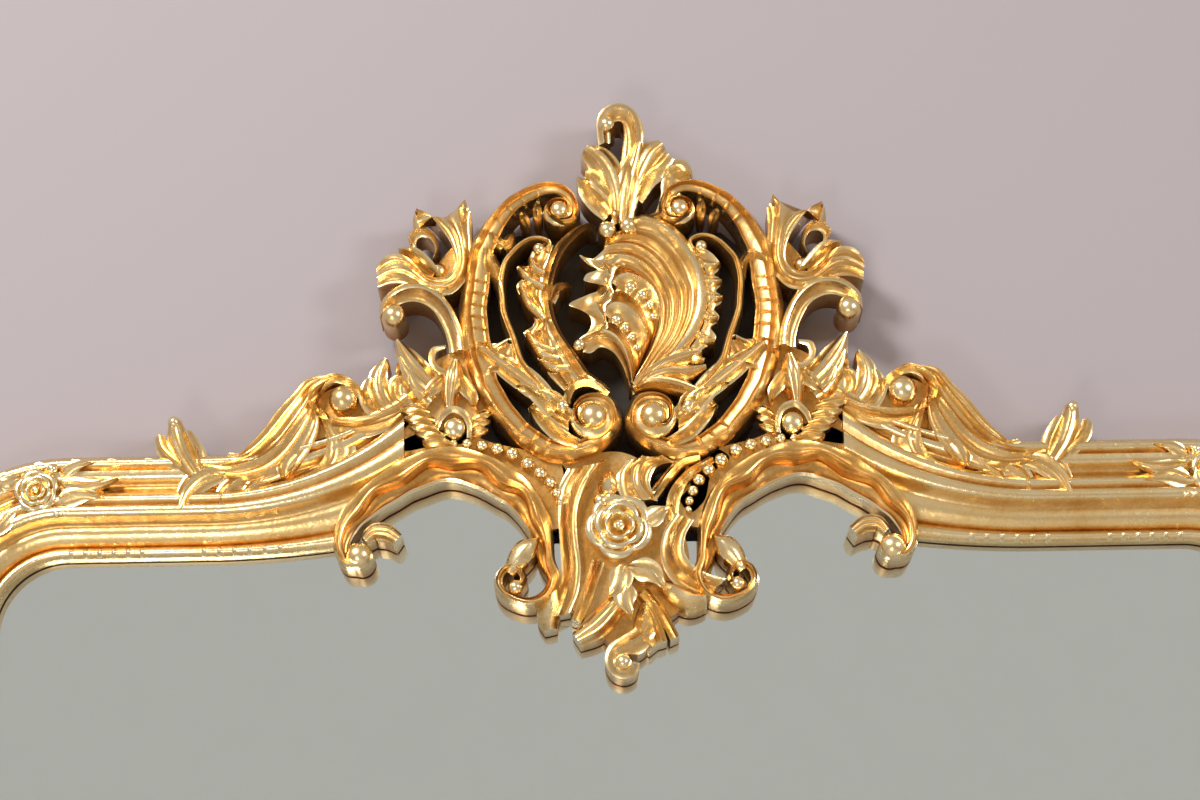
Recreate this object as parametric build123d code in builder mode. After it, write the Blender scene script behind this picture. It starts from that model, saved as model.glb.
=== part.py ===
from build123d import *
from math import cos, hypot, pi, radians, sin, sqrt
import os

os.makedirs("parts", exist_ok=True)

# Frame: the sight is the mirror that shows inside the moulding
sight_width = 1000
sight_height = 1600
moulding_width = 80
sight_corner_radius = 56
wall_gap = 8
rebate_width = 10

# Heights of the moulding's members above the back of the frame
lip_height = 25
bead_height = 30
band_height = 31
crown_height = 44
groove_height = 41
cavetto_height = 35
ribbon_height = 43
outer_wall_height = 38

# Glazing, from the front: glass, silver coat, back panel
glass_thickness = 4
coat_thickness = 0.3
panel_thickness = 9
glass_clearance = 1

# Crest
blank_thickness = 32
relief = 20
channel_depth = 9
leaf_edge = 6
leaf_crown = 14
datum_rise = 18
backboard_thickness = 5
carving_gap = 0.3
rail_rise_start = 330
rail_end = 175
fan_steps = 6
sight_rise_radius = 812
ledge_rise_radius = 231
outer_rise_radius = 313
ledge_place = 49

# Back hardware
screw_shank = 3.5
screw_length = 12
screw_head = 8
screw_head_height = 1.2
plate_thickness = 2
plate_hole = 4.4
splice_length = 110
splice_width = 22
splice_screw_pitch = 40
crest_plate_length = 120
crest_plate_angle = 20
crest_plate_z = 1762
crest_plate_holes = [-50, -30, 30, 50]
tab_screw_reach = 10
bumper_inset = 100
least_chip = 60
tab_plate_length = 34
tab_plate_width = 14
tab_plate_count = 6
bumper_diameter = 18
hanger_drop = 180
strap_width = 20
strap_thickness = 1.5
strap_length = 62
eye_outer_diameter = 7.2
ring_wire = 4
ring_running_gap = 0.08
ring_half_width = 16
ring_reach = 26
ring_bend = 4
ring_chords = 8
ring_lead = 1
ring_axis_gap = 4.2
first_screw_drop = 36
second_screw_drop = 50

# Places that follow from the sizes above
frame_back = wall_gap
glass_front = frame_back + panel_thickness + coat_thickness + glass_thickness
rebate_depth = glass_front - frame_back
blank_front = frame_back + blank_thickness
sight_bottom = moulding_width
sight_top = sight_bottom + sight_height
half_sight = sight_width / 2
half_frame = half_sight + moulding_width
corner_x = half_sight - sight_corner_radius
upper_corner_z = sight_top - sight_corner_radius
lower_corner_z = sight_bottom + sight_corner_radius
crest_datum = sight_top + datum_rise
stile_centre = half_sight + moulding_width / 2


def follow(points, count):
    """Evenly spaced places along a smooth line through the points."""
    curve = Spline(*points, mode=Mode.PRIVATE)
    places = [curve @ (i / (count - 1)) for i in range(count)]
    return [(p.X, p.Y) for p in places]


def volute(centre, first_radius, last_radius, first_angle, last_angle, steps):
    """A spiral: the radius changes evenly with the angle, in degrees."""
    places = []
    for i in range(steps + 1):
        share = i / steps
        angle = radians(first_angle + share * (last_angle - first_angle))
        radius = first_radius + share * (last_radius - first_radius)
        places.append((centre[0] + radius * cos(angle), centre[1] + radius * sin(angle)))
    return places


def spread(values, count):
    """The values stretched evenly to the wanted count."""
    if len(values) == count:
        return list(values)
    result = []
    for i in range(count):
        place = i * (len(values) - 1) / (count - 1)
        low = min(int(place), len(values) - 2)
        result.append(values[low] + (place - low) * (values[low + 1] - values[low]))
    return result


def normals(route):
    """The unit direction to the left of travel at each place of the route."""
    result = []
    for i in range(len(route)):
        before = route[max(i - 1, 0)]
        after = route[min(i + 1, len(route) - 1)]
        dx, dz = after[0] - before[0], after[1] - before[1]
        length = hypot(dx, dz)
        result.append((-dz / length, dx / length))
    return result


def footprint(route, widths, grow=0.0):
    """The flat outline that a band of the given widths covers."""
    halves = [w / 2 + grow for w in spread(widths, len(route))]
    sides = normals(route)
    left = [(p[0] + n[0] * h, p[1] + n[1] * h) for p, n, h in zip(route, sides, halves)]
    right = [(p[0] - n[0] * h, p[1] - n[1] * h) for p, n, h in zip(route, sides, halves)]
    return Polygon(*(left + right[::-1]), align=None, mode=Mode.PRIVATE)


def carved(route, widths, section, foot, home):
    """A band whose section follows the route from the home point, standing at depth foot."""
    widths = spread(widths, len(route))
    with BuildPart() as band:
        for place, side, width in zip(route, normals(route), widths):
            across = Plane(
                origin=(home[0] + place[0], -foot, home[1] + place[1]),
                x_dir=(side[0], 0, side[1]),
                z_dir=(side[1], 0, -side[0]),
            )
            with BuildSketch(across):
                Polygon(*section(width / 2), align=None)
        loft(ruled=True)
    return band.part


def channel(half):
    """Two raised rims with a hollow between them."""
    hollow = relief - channel_depth
    return [
        (-half, 0), (half, 0), (half, relief - 2), (half * 0.72, relief),
        (half * 0.35, hollow), (-half * 0.35, hollow), (-half * 0.72, relief), (-half, relief - 2),
    ]


def blade(half):
    """A leaf: low edges and a ridge along its middle."""
    return [(-half, 0), (half, 0), (half, leaf_edge), (0, leaf_crown), (-half, leaf_edge)]


def cord(half):
    """A rounded stem with a flat crown."""
    return [
        (-half, 0), (half, 0), (half, leaf_crown - 2), (half * 0.45, leaf_crown + 2),
        (-half * 0.45, leaf_crown + 2), (-half, leaf_crown - 2),
    ]


def dome(centre, radius, height, foot, home, sides=8):
    """A round boss built up from shrinking rings."""
    with BuildPart() as boss:
        for share, lift in ((1.0, 0.0), (1.0, 0.35), (0.45, 1.0)):
            with BuildSketch(Plane.XZ.offset(foot + height * lift)):
                with Locations((home[0] + centre[0], home[1] + centre[1])):
                    RegularPolygon(radius * share, sides)
        loft(ruled=True)
    return boss.part


def rosette(centre, radius, height, foot, home, petals=5, steps=2):
    """A rose: rings of petals, each ring turned by half a petal over the one below."""
    tiers = [(1.0, 0.0, 0), (1.0, 0.35, 0), (0.66, 0.55, 0.5), (0.64, 0.78, 0.5), (0.3, 1.0, 0)]
    with BuildPart() as flower:
        for share, lift, turn in tiers:
            outline = []
            for i in range(petals * steps):
                angle = 2 * pi * i / (petals * steps)
                reach = radius * share * (0.92 + 0.08 * cos(petals * angle + 2 * pi * turn))
                outline.append((reach * cos(angle), reach * sin(angle)))
            with BuildSketch(Plane.XZ.offset(foot + height * lift)):
                with Locations((home[0] + centre[0], home[1] + centre[1])):
                    Polygon(*outline, align=None)
        loft(ruled=True)
    return flower.part


def raised(shapes, low, high, home):
    """The flat shapes, drawn from the home point, as a solid between two depths."""
    with BuildPart() as block:
        with BuildSketch(Plane.XZ.offset(low)):
            with Locations(home):
                add(shapes)
        extrude(amount=high - low)
    return block.part


def flipped(points):
    """The points on the other side of the mirror's centre line."""
    return [(-x, h) for x, h in points]


# Routes of the crest: x from the centre line and height above the datum line
c_scroll_route = (
    volute((-22, 85), 12.5, 20, 200, -90, 9)
    + follow([(-36, 57), (-66, 62), (-101, 98), (-118, 157), (-116, 216), (-90, 264), (-58, 280)], 12)
    + volute((-51, 262), 16, 9, 80, -150, 8)
)
c_scroll_widths = [6, 7, 8, 8, 8, 9, 9, 9, 10, 11] + [12, 13, 15, 18, 20, 21, 20, 19, 18, 17, 15, 13] + [
    11, 9, 8, 8, 7, 7, 7, 6, 6]
arch_route = follow(
    [(-216, -14), (-217, 4), (-207, 22), (-178, 42), (-140, 47), (-104, 38), (-80, 13), (-71, -22), (-69, -42)],
    15,
) + volute((-86, -54), 16, 10, 10, -190, 7)[1:]
arch_widths = [18, 22, 25, 27, 28, 29, 29, 30, 31, 31, 30, 27, 25, 23, 21] + [17, 13, 11, 10, 9, 8, 8]
inner_scroll_route = follow(
    [(-25, 120), (-37, 138), (-50, 160), (-60, 185), (-60, 212), (-45, 240), (-24, 250), (-10, 244)], 13)
inner_scroll_widths = [9, 10, 11, 11, 11, 11, 10, 10, 11, 12, 11, 9, 8]
stem_route = follow(
    [(-62, 110), (-80, 131), (-92, 158), (-96, 185), (-92, 218), (-76, 240), (-62, 240), (-58, 231), (-65, 228)], 15)
stem_widths = [9, 9, 9, 9, 9, 9, 9, 9, 8, 8, 7, 6, 6, 6, 5]
bud_route = follow([(-99, 192), (-102, 208), (-107, 224)], 4)
calyx_route = follow([(-96, 212), (-97, 226), (-97, 240)], 4)
lower_leaf_route = follow([(-44, 70), (-60, 84), (-70, 102), (-82, 122), (-98, 138), (-110, 146)], 9)
lower_leaf_widths = [5, 12, 8, 16, 10, 20, 12, 20, 4]
inner_leaf_route = follow([(-46, 120), (-56, 140), (-66, 166), (-72, 192), (-72, 216)], 8)
inner_leaf_widths = [10, 22, 10, 20, 12, 22, 12, 10]
plume_rings = [
    follow([(12, 112), (38, 142), (55, 175), (55, 205), (38, 235), (10, 247)], 9),
    follow([(6, 114), (30, 144), (44, 175), (42, 205), (26, 226), (-6, 233), (-22, 230)], 9),
    follow([(2, 118), (20, 144), (33, 172), (32, 196), (18, 212), (-6, 218), (-24, 216)], 9),
    follow([(-2, 122), (12, 146), (21, 168), (17, 188), (2, 200), (-14, 203), (-28, 200)], 8),
]
plume_widths = [7, 10, 12, 12, 12, 12, 10, 9, 7]
plume_field = [(4, 98), (20, 112), (48, 146), (60, 178), (60, 206), (44, 238), (12, 250), (-10, 244), (-18, 236),
               (-34, 226), (-24, 214), (-33, 206), (-20, 194), (-42, 181), (-28, 172), (-30, 160), (-36, 144),
               (-16, 150), (0, 146), (4, 130)]
back_leaf_route = follow([(54, 130), (64, 150), (70, 174), (71, 198), (68, 216)], 9)
back_leaf_widths = [10, 24, 12, 22, 12, 22, 12, 22, 8]

# Leaves given as a route of three places and three widths
finial_leaves = [
    ([(-4, 258), (-16, 272), (-31, 290)], [8, 10, 2]),
    ([(-2, 262), (-12, 282), (-24, 290)], [8, 12, 3]),
    ([(-1, 266), (-10, 292), (-25, 318)], [9, 17, 8]),
    ([(2, 276), (-5, 298), (-8, 318)], [8, 11, 4]),
    ([(5, 258), (6, 284), (11, 304)], [12, 17, 6]),
    ([(10, 286), (22, 304), (34, 318)], [9, 15, 12]),
    ([(20, 284), (36, 299), (60, 291)], [10, 13, 3]),
    ([(26, 252), (20, 268), (27, 288)], [8, 7, 8]),
]
finial_curl_route = follow([(9, 300), (13, 318), (16, 332), (8, 346), (-4, 346), (-9, 334), (-8, 326)], 10)
finial_curl_widths = [10, 13, 15, 15, 13, 12, 12, 11, 10, 9]
wing_leaves = [
    ([(-133, 186), (-133, 225), (-120, 256)], [7, 10, 7]),
    ([(-138, 200), (-142, 232), (-168, 244)], [8, 12, 8]),
    ([(-144, 232), (-155, 248), (-165, 265)], [12, 12, 2]),
    ([(-136, 232), (-131, 252), (-126, 272)], [10, 12, 2]),
    ([(-136, 204), (-158, 207), (-176, 219), (-194, 208)], [12, 18, 24, 12]),
    ([(-134, 140), (-141, 170), (-160, 191), (-178, 188)], [9, 14, 14, 14]),
    ([(-148, 108), (-158, 128), (-164, 142), (-180, 151)], [18, 20, 16, 2]),
    ([(-146, 138), (-160, 157), (-178, 174)], [12, 8, 10]),
    ([(-130, 128), (-134, 160), (-134, 190)], [9, 8, 8]),
]
descending_leaves = [
    ([(-134, 134), (-140, 120), (-153, 104)], [10, 14, 4]),
    ([(-134, 132), (-136, 116), (-137, 101)], [8, 12, 5]),
    ([(-131, 132), (-124, 116), (-116, 100)], [8, 13, 5]),
    ([(-160, 100), (-172, 98), (-184, 92)], [8, 9, 4]),
    ([(-160, 89), (-174, 86), (-188, 78)], [9, 10, 5]),
    ([(-163, 77), (-176, 74), (-192, 68)], [8, 9, 5]),
    ([(-116, 88), (-106, 86), (-98, 80)], [8, 9, 4]),
]
boss_centre = (-138, 85)
boss_radius = 13
console_route = follow(
    [(-292, 56), (-276, 76), (-260, 97), (-244, 114), (-226, 121), (-212, 112), (-209, 101)], 12)
console_widths = [14, 20, 24, 26, 24, 20, 15, 12, 10, 8, 8, 7]
console_rim_route = follow([(-246, 100), (-240, 88), (-222, 82), (-200, 87), (-184, 97), (-174, 110)], 8)
console_rim_widths = [8, 9, 10, 11, 12, 14, 14, 12]
console_ball = (-224, 102)
console_ball_radius = 11
console_leaves = [
    ([(-201, 98), (-197, 108), (-202, 122)], [10, 12, 3]),
    ([(-188, 104), (-186, 118), (-190, 136)], [12, 14, 2]),
]
console_tail_route = follow([(-300, 50), (-314, 43), (-332, 41), (-346, 48), (-354, 64), (-357, 80)], 8)
console_tail_widths = [16, 13, 11, 10, 10, 12, 15, 12]
arch_pearls = [(-150, 66.5, 3.2), (-141, 67, 3.4), (-132, 66.5, 3.6), (-122, 65, 3.8), (-112, 62.5, 4),
               (-101, 60.5, 4.2), (-90, 56, 4.6), (-79, 49, 4.6), (-70, 41, 4.4), (-61, 32, 4.2),
               (-55, 22, 3.8), (-52, 13, 3.4), (-50, 5, 3.2)]
plume_pearls = [(8, 197, 4.6), (17, 187, 4.4), (23, 178, 4), (26, 169, 3.6),
                (-7, 167, 4.4), (0, 160, 4.2), (6, 152, 4), (11, 144, 3.4)]

# The pendant below the crest
pendant_field = [(-58, 52), (-44, 20), (-50, -10), (-52, -40), (-50, -62), (-44, -74), (-24, -84), (-12, -100),
                 (-2, -104), (8, -98), (22, -84), (44, -74), (52, -60), (54, -40), (52, -10), (46, 20), (58, 52),
                 (30, 62), (-30, 62)]
pendant_bands = [
    (follow([(-6, 50), (-26, 28), (-37, 4), (-41, -28), (-43, -58), (-55, -80)], 9),
     [9, 11, 12, 12, 11, 11, 12, 14, 12]),
    (follow([(-24, -34), (-28, -56), (-28, -76), (-38, -96)], 6), [12, 13, 14, 18, 22, 20]),
    (follow([(8, 44), (4, 28), (10, 14), (24, 10)], 6), [8, 10, 12, 12, 10, 6]),
    (follow([(44, 8), (38, -14), (42, -34), (52, -48)], 6), [10, 12, 12, 11, 11, 9]),
    (follow([(18, -46), (30, -60), (48, -72)], 5), [8, 12, 20, 26, 24]),
]
pendant_holes = [
    [(13, 24), (22, 36), (42, 46), (35, 34), (31, 22), (24, 18)],
    [(47, 26), (51, 40), (66, 51), (60, 38), (52, 26), (49, 22)],
]
rose_centre = (-7, -8)
rose_radius = 28
rose_leaves = [
    ([(-14, 14), (-15, 24), (-13, 36)], [6, 14, 4]),
    ([(-6, -40), (-12, -54), (-20, -66)], [6, 15, 4]),
    ([(4, -46), (16, -52), (28, -60)], [6, 13, 3]),
    ([(1, -52), (2, -66), (8, -80)], [6, 14, 4]),
    ([(30, -2), (36, 0), (44, 8)], [6, 11, 4]),
]
drop_curl_centre = (-5, -116)
drop_curl_radius = 12.5

# Sprays of roses on the four corners: x from the corner's centre, h above it
spray_roses = [(-22, 108, 17), (-94, 62, 15)]
spray_leaves = [
    ([(-6, 111), (12, 108), (34, 105)], [8, 13, 3]),
    ([(-8, 118), (18, 122), (42, 117)], [6, 9, 3]),
    ([(-42, 100), (-58, 90), (-76, 80)], [10, 15, 8]),
    ([(-100, 48), (-108, 32), (-110, 10)], [8, 13, 3]),
    ([(-108, 56), (-118, 38), (-120, 20)], [6, 9, 3]),
]
spray_seat = 34
spray_height = 14

glass_grow = rebate_width - glass_clearance
arch_centre = (-145, -28)
arch_opening_radius = 62
arch_height = crest_datum + arch_centre[1]


def glazing(grow, low, high):
    """The mirror's outline grown past the sight, with a round head behind each arch."""
    middle = (sight_bottom + sight_top) / 2
    with BuildPart() as sheet:
        with BuildSketch(Plane.XZ.offset(low)):
            with Locations((0, middle)):
                RectangleRounded(
                    sight_width + 2 * grow, sight_height + 2 * grow, sight_corner_radius + grow)
            with Locations((arch_centre[0], arch_height), (-arch_centre[0], arch_height)):
                Circle(arch_opening_radius + grow)
        extrude(amount=high - low)
    return sheet.part


def bulge(start, end, sag, steps=2):
    """Places along a round member from start to end, standing proud by sag, or hollow if it is negative."""
    places = []
    for i in range(1, steps + 1):
        share = i / steps
        swell = 4 * sag * share * (1 - share)
        places.append((start[0] + share * (end[0] - start[0]), start[1] + share * (end[1] - start[1]) + swell))
    return places


def members():
    """The moulding's outline from the rebate outwards.

    The first value is the distance from the sight edge and the second the height from the back.
    """
    outer = moulding_width
    return [
        (rebate_width, 0), (rebate_width, rebate_depth), (0, rebate_depth),
        (0, lip_height), *bulge((0, lip_height), (9, lip_height), bead_height - lip_height),
        (11, lip_height), *bulge((11, lip_height), (24, band_height), 2),
        *bulge((24, band_height), (31, crown_height - 2), -3),
        (33, crown_height), (39, crown_height),
        (41, groove_height), *bulge((41, groove_height), (48, groove_height), crown_height - groove_height),
        *bulge((48, groove_height), (outer - 18, groove_height - 1), cavetto_height - groove_height, 3),
        (outer - 12, groove_height), (outer - 11, outer_wall_height),
        *bulge((outer - 11, outer_wall_height), (outer, outer_wall_height), ribbon_height - outer_wall_height),
        (outer, 0),
    ]


def level(u):
    """The moulding's own width, where nothing spreads it."""
    return u


def spread_moulding(place):
    """The moulding's section, its widths moved by the given map and its round members cut as flats."""
    points = [(place(u), v) for u, v in members()]
    return Polygon(*points, align=None, mode=Mode.PRIVATE)


def rise(radius, distance):
    """How far an arc that starts level has risen at a distance."""
    return radius - sqrt(radius * radius - distance * distance)


def rail_plane(x, side):
    """The plane across a level rail at x, with its first axis pointing up or down."""
    return Plane(
        origin=(x, -frame_back, sight_top if side > 0 else sight_bottom),
        x_dir=(0, 0, side),
        z_dir=(side, 0, 0),
    )


def stile_plane(z):
    """The plane across the left stile at z, with its first axis pointing outwards."""
    return Plane(origin=(-half_sight, -frame_back, z), x_dir=(-1, 0, 0), z_dir=(0, 0, 1))


def screw(place):
    """A round-headed wood screw driven into the back of the frame."""
    x, z, seat = place
    with BuildPart() as body:
        with BuildSketch(Plane.XZ.offset(seat)):
            with Locations((x, z)):
                RegularPolygon(screw_shank / 2, 6)
        extrude(amount=screw_length)
        with BuildSketch(Plane.XZ.offset(seat)):
            with Locations((x, z)):
                RegularPolygon(screw_head / 2, 6)
        extrude(amount=-screw_head_height)
    return body.part


def flat_bar(centre, length, width, angle, holes):
    """A steel bar lying on the back of the frame, drilled for its screws."""
    with BuildPart() as bar:
        with BuildSketch(Plane.XZ.offset(frame_back - plate_thickness)):
            with Locations(Location((centre[0], centre[1]), angle)):
                Rectangle(length, width)
                with Locations(*[(hole, 0) for hole in holes]):
                    RegularPolygon(plate_hole / 2, 6, mode=Mode.SUBTRACT)
        extrude(amount=plate_thickness)
    return bar.part


def bar_screws(centre, angle, holes):
    """Screws through a bar: along it at the hole distances."""
    c, s = cos(radians(angle)), sin(radians(angle))
    return [(centre[0] + hole * c, centre[1] + hole * s, frame_back - plate_thickness) for hole in holes]


# Screws and the plates that they hold
splice_holes = [-splice_screw_pitch, -splice_screw_pitch / 3, splice_screw_pitch / 3, splice_screw_pitch]
splice_places = [(side * stile_centre, z) for side in (-1, 1) for z in (upper_corner_z, lower_corner_z)]
splice_screws = [place for centre in splice_places for place in bar_screws(centre, 90, splice_holes)]
crest_plate_places = [(side * rail_end, crest_plate_z, -side * crest_plate_angle) for side in (-1, 1)]
crest_screws = [place for x, z, angle in crest_plate_places
                for place in bar_screws((x, z), angle, crest_plate_holes)]
tab_heights = [sight_bottom + sight_height * (i + 0.5) / tab_plate_count for i in range(tab_plate_count)]
tab_places = [(side * (half_sight + rebate_width), z, side) for side in (-1, 1) for z in tab_heights]
tab_screws = [(x + side * tab_screw_reach, z, frame_back - plate_thickness) for x, z, side in tab_places]
hanger_z = upper_corner_z - hanger_drop
hanger_screw_places = [(side * stile_centre, hanger_z - drop, frame_back - strap_thickness)
                       for side in (-1, 1) for drop in (first_screw_drop, second_screw_drop)]
bumper_places = [(side * stile_centre, z) for side in (-1, 1)
                 for z in (lower_corner_z + bumper_inset, upper_corner_z - bumper_inset)]


def pilot_holes(places):
    """The holes that the screws cut in the wood."""
    with BuildPart() as holes:
        for x, z, seat in places:
            with BuildSketch(Plane.XZ.offset(seat)):
                with Locations((x, z)):
                    RegularPolygon(screw_shank / 2, 6)
            extrude(amount=screw_length)
    return holes.part


# Outlines of the blank: everything that the carving stands on
hook_centre = (-212, -16)
hook_radius = 15
scroll_eyes = [(-22, 85, 9), (-51, 262, 6)]
arch_eye = (-86, -54, 6)
hook_ball = (-208, -21, 7)
eye_height = 16
wing_field = [(-128, 64), (-190, 52), (-192, 70), (-180, 88), (-166, 104), (-150, 118), (-146, 140), (-126, 150),
              (-126, 196), (-136, 202), (-150, 212), (-138, 236), (-124, 246), (-112, 240), (-112, 70)]
pearl_field = [(-44, 0), (-60, 0), (-68, 26), (-84, 42), (-110, 54), (-150, 60), (-186, 52), (-150, 78), (-118, 84),
               (-90, 66), (-40, 54)]
console_field = [(-292, 58), (-262, 92), (-244, 106), (-226, 112), (-200, 104), (-176, 114), (-164, 80), (-200, 60)]
top_bridge = [(-62, 254), (-56, 238), (-40, 244), (-20, 254), (0, 250), (20, 254), (40, 246), (62, 236), (64, 254),
              (50, 258), (24, 256), (0, 262), (-24, 256), (-50, 258)]
backboard_half = [(-40, 14), (-58, 18), (-74, 44), (-98, 76), (-112, 104), (-120, 150), (-120, 200), (-106, 236),
                  (-84, 256), (-40, 250)]


def polygon(points):
    """A straight-sided outline."""
    return Polygon(*points, align=None, mode=Mode.PRIVATE)


def disc(place):
    """A round outline: its centre and radius."""
    return Pos(place[0], place[1]) * Circle(place[2], mode=Mode.PRIVATE)


def smooth(leaves):
    """Each leaf's route with more places along it."""
    return [(follow(points, 5), widths) for points, widths in leaves]


def both(bands):
    """The bands and their images on the other side of the centre line."""
    return bands + [(flipped(route)[::-1], widths[::-1]) for route, widths in bands]


def covers(bands, grow=carving_gap):
    """The flat outlines of several bands, grown by the gap left round carving."""
    return [footprint(route, widths, grow) for route, widths in bands]


def carving(bands, section, bosses=(), home=(0, crest_datum), foot=blank_front):
    """Several bands and bosses joined into one carved piece."""
    with BuildPart() as piece:
        for route, widths in bands:
            add(carved(route, widths, section, foot, home))
        for boss in bosses:
            add(boss)
    return piece.part


def let_in(piece, shapes, home=(0, crest_datum)):
    """The piece with room cut in it for the carving that lies beside or over it."""
    with BuildPart() as trimmed:
        add(piece)
        add(raised(shapes, blank_front - 1, blank_front + 3 * relief, home), mode=Mode.SUBTRACT)
    kept = [solid for solid in trimmed.part.solids() if solid.volume > least_chip]
    return Part(Compound(kept).wrapped)


crest_home = (0, crest_datum)
c_scroll = [(c_scroll_route, c_scroll_widths)]
arch = [(arch_route, arch_widths)]
stem = [(stem_route, stem_widths), (bud_route, [7, 12, 9]), (calyx_route, [6, 20, 12])]
lower_leaf = [(lower_leaf_route, lower_leaf_widths)]
wing = smooth(wing_leaves)
descending = smooth(descending_leaves)
console = [(console_route, console_widths), (console_rim_route, console_rim_widths)] + smooth(console_leaves)
tail = [(console_tail_route, console_tail_widths)]
inner_scroll = [(inner_scroll_route, inner_scroll_widths)]
inner_leaf = [(inner_leaf_route, inner_leaf_widths)]
plume = [(ring, plume_widths) for ring in plume_rings]
back_leaf = [(back_leaf_route, back_leaf_widths)]
finial = smooth(finial_leaves)
finial_curl = [(finial_curl_route, finial_curl_widths)]
rose_leaf = smooth(rose_leaves)

blank_shapes = [polygon(points) for points in (pendant_field, plume_field, top_bridge)]
for points in (wing_field, pearl_field, console_field):
    blank_shapes += [polygon(points), polygon(flipped(points)[::-1])]
blank_shapes += covers(both(c_scroll + arch + stem + lower_leaf + wing + descending + console), 0)
blank_shapes += covers(inner_scroll + inner_leaf + back_leaf + finial + finial_curl + pendant_bands + rose_leaf, 0)
for x, h, radius in scroll_eyes + [arch_eye, hook_centre + (hook_radius,), boss_centre + (boss_radius,)]:
    blank_shapes += [disc((x, h, radius + 1)), disc((-x, h, radius + 1))]
blank_shapes += [disc(rose_centre + (rose_radius,)), disc(drop_curl_centre + (drop_curl_radius,))]


def rail_lines(x):
    """How far the sight edge, the crown's ledge and the outer edge have risen at a place."""
    distance = rail_rise_start - abs(x)
    return (rise(sight_rise_radius, distance), rise(ledge_rise_radius, distance),
            rise(outer_rise_radius, distance))


def fanned(x):
    """The map that spreads the moulding's width as the rail climbs towards the crest."""
    low, ledge, high = rail_lines(x)

    def place(u):
        if u <= ledge_place:
            return u + low + (ledge - low) * u / ledge_place
        return u + ledge + (high - ledge) * (u - ledge_place) / (moulding_width - ledge_place)

    return place


fan_places = [-rail_rise_start + (rail_rise_start - rail_end) * i / fan_steps for i in range(fan_steps + 1)]
rail_field = [(x, fanned(x)(0) - datum_rise) for x in fan_places]
rail_field += [(x, fanned(x)(moulding_width) - datum_rise + carving_gap) for x in reversed(fan_places)]
rail_field = [(-corner_x, -datum_rise), *rail_field, (-corner_x, moulding_width - datum_rise + carving_gap)]
rail_field = [(x + (carving_gap if x == -rail_end else 0), h) for x, h in rail_field]

blank_gaps = [polygon(points) for points in pendant_holes + [rail_field, flipped(rail_field)[::-1]]]
blank_room = raised(blank_gaps, 0, blank_front, crest_home)

glass_pocket = glazing(rebate_width, 0, glass_front)
with BuildPart() as arch_openings:
    with BuildSketch(Plane.XZ):
        with Locations((arch_centre[0], arch_height), (-arch_centre[0], arch_height)):
            Circle(arch_opening_radius)
    extrude(amount=blank_front)

with BuildPart() as crest_backboard:
    with BuildSketch(Plane.XZ.offset(frame_back)):
        with Locations(crest_home):
            Polygon(*(backboard_half + flipped(backboard_half)[::-1]), align=None)
    extrude(amount=backboard_thickness)
crest_backboard.part.label = "crest_backboard"
export_step(crest_backboard.part, "parts/crest_backboard.step")

with BuildPart() as crest_blank:
    with BuildSketch(Plane.XZ.offset(frame_back)):
        with Locations(crest_home):
            add(blank_shapes)
    extrude(amount=blank_thickness)
    add(blank_room, mode=Mode.SUBTRACT)
    add(glass_pocket, mode=Mode.SUBTRACT)
    add(crest_backboard.part, mode=Mode.SUBTRACT)
    add(pilot_holes(crest_screws), mode=Mode.SUBTRACT)
crest_blank.part.label = "crest_blank"
export_step(crest_blank.part, "parts/crest_blank.step")

# Carved scrolls and leaves: each is made for the left side and mirrored for the right
left_pieces = {}
left_pieces["arch_scroll"] = carving(
    arch, channel, [dome(hook_ball[:2], hook_ball[2], eye_height, blank_front, crest_home),
                    dome(arch_eye[:2], arch_eye[2], eye_height, blank_front, crest_home)])
left_pieces["c_scroll"] = carving(
    c_scroll, channel, [dome(eye[:2], eye[2], eye_height, blank_front, crest_home) for eye in scroll_eyes])
left_pieces["stem"] = let_in(carving(stem, cord), covers(c_scroll))
left_pieces["lower_leaf"] = let_in(carving(lower_leaf, blade), covers(c_scroll + stem))
left_pieces["wing_leaf"] = let_in(carving(wing, blade), covers(c_scroll))
left_pieces["acanthus"] = let_in(
    carving(descending, blade, [dome(boss_centre, boss_radius, eye_height, blank_front, crest_home)]),
    covers(wing + arch + c_scroll))
left_pieces["console_scroll"] = let_in(
    carving(console + tail, blade,
            [dome(console_ball, console_ball_radius, relief, blank_front, crest_home)]),
    covers(wing + arch + descending))
left_pieces["arch_pearls"] = carving(
    [], cord, [dome(pearl[:2], pearl[2], 2 * pearl[2], blank_front, crest_home, 6) for pearl in arch_pearls])
for name, piece in left_pieces.items():
    for side, shape in (("left", piece), ("right", mirror(piece, about=Plane.YZ, mode=Mode.PRIVATE))):
        with BuildPart() as carved_piece:
            add(shape)
        carved_piece.part.label = side + "_" + name
        export_step(carved_piece.part, "parts/" + side + "_" + name + ".step")

# Carving in the middle of the crest, where the two sides differ
centre_pieces = {}
centre_pieces["left_inner_scroll"] = carving(inner_scroll, channel)
centre_pieces["inner_leaf"] = let_in(
    carving(inner_leaf, blade), covers(inner_scroll + stem + c_scroll + lower_leaf))
centre_pieces["shell_plume"] = let_in(carving(plume, cord), covers(inner_scroll + both(c_scroll)))
centre_pieces["plume_pearls"] = let_in(
    carving([], cord, [dome(pearl[:2], pearl[2], 2 * pearl[2], blank_front, crest_home, 6) for pearl in plume_pearls]),
    covers(plume))
centre_pieces["back_leaf"] = let_in(
    carving(back_leaf, blade), covers(plume + both(stem + c_scroll + lower_leaf)))
centre_pieces["finial_leaves"] = let_in(
    carving(finial, blade), covers(finial_curl + both(c_scroll) + inner_scroll + plume))
centre_pieces["finial_curl"] = carving(finial_curl, cord)
centre_pieces["pendant_rose"] = rosette(rose_centre, rose_radius, relief, blank_front, crest_home)
rose_cover = [disc(rose_centre + (rose_radius + carving_gap,))]
pearl_cover = [disc((side * x, h, radius + carving_gap)) for x, h, radius in arch_pearls for side in (-1, 1)]
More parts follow.
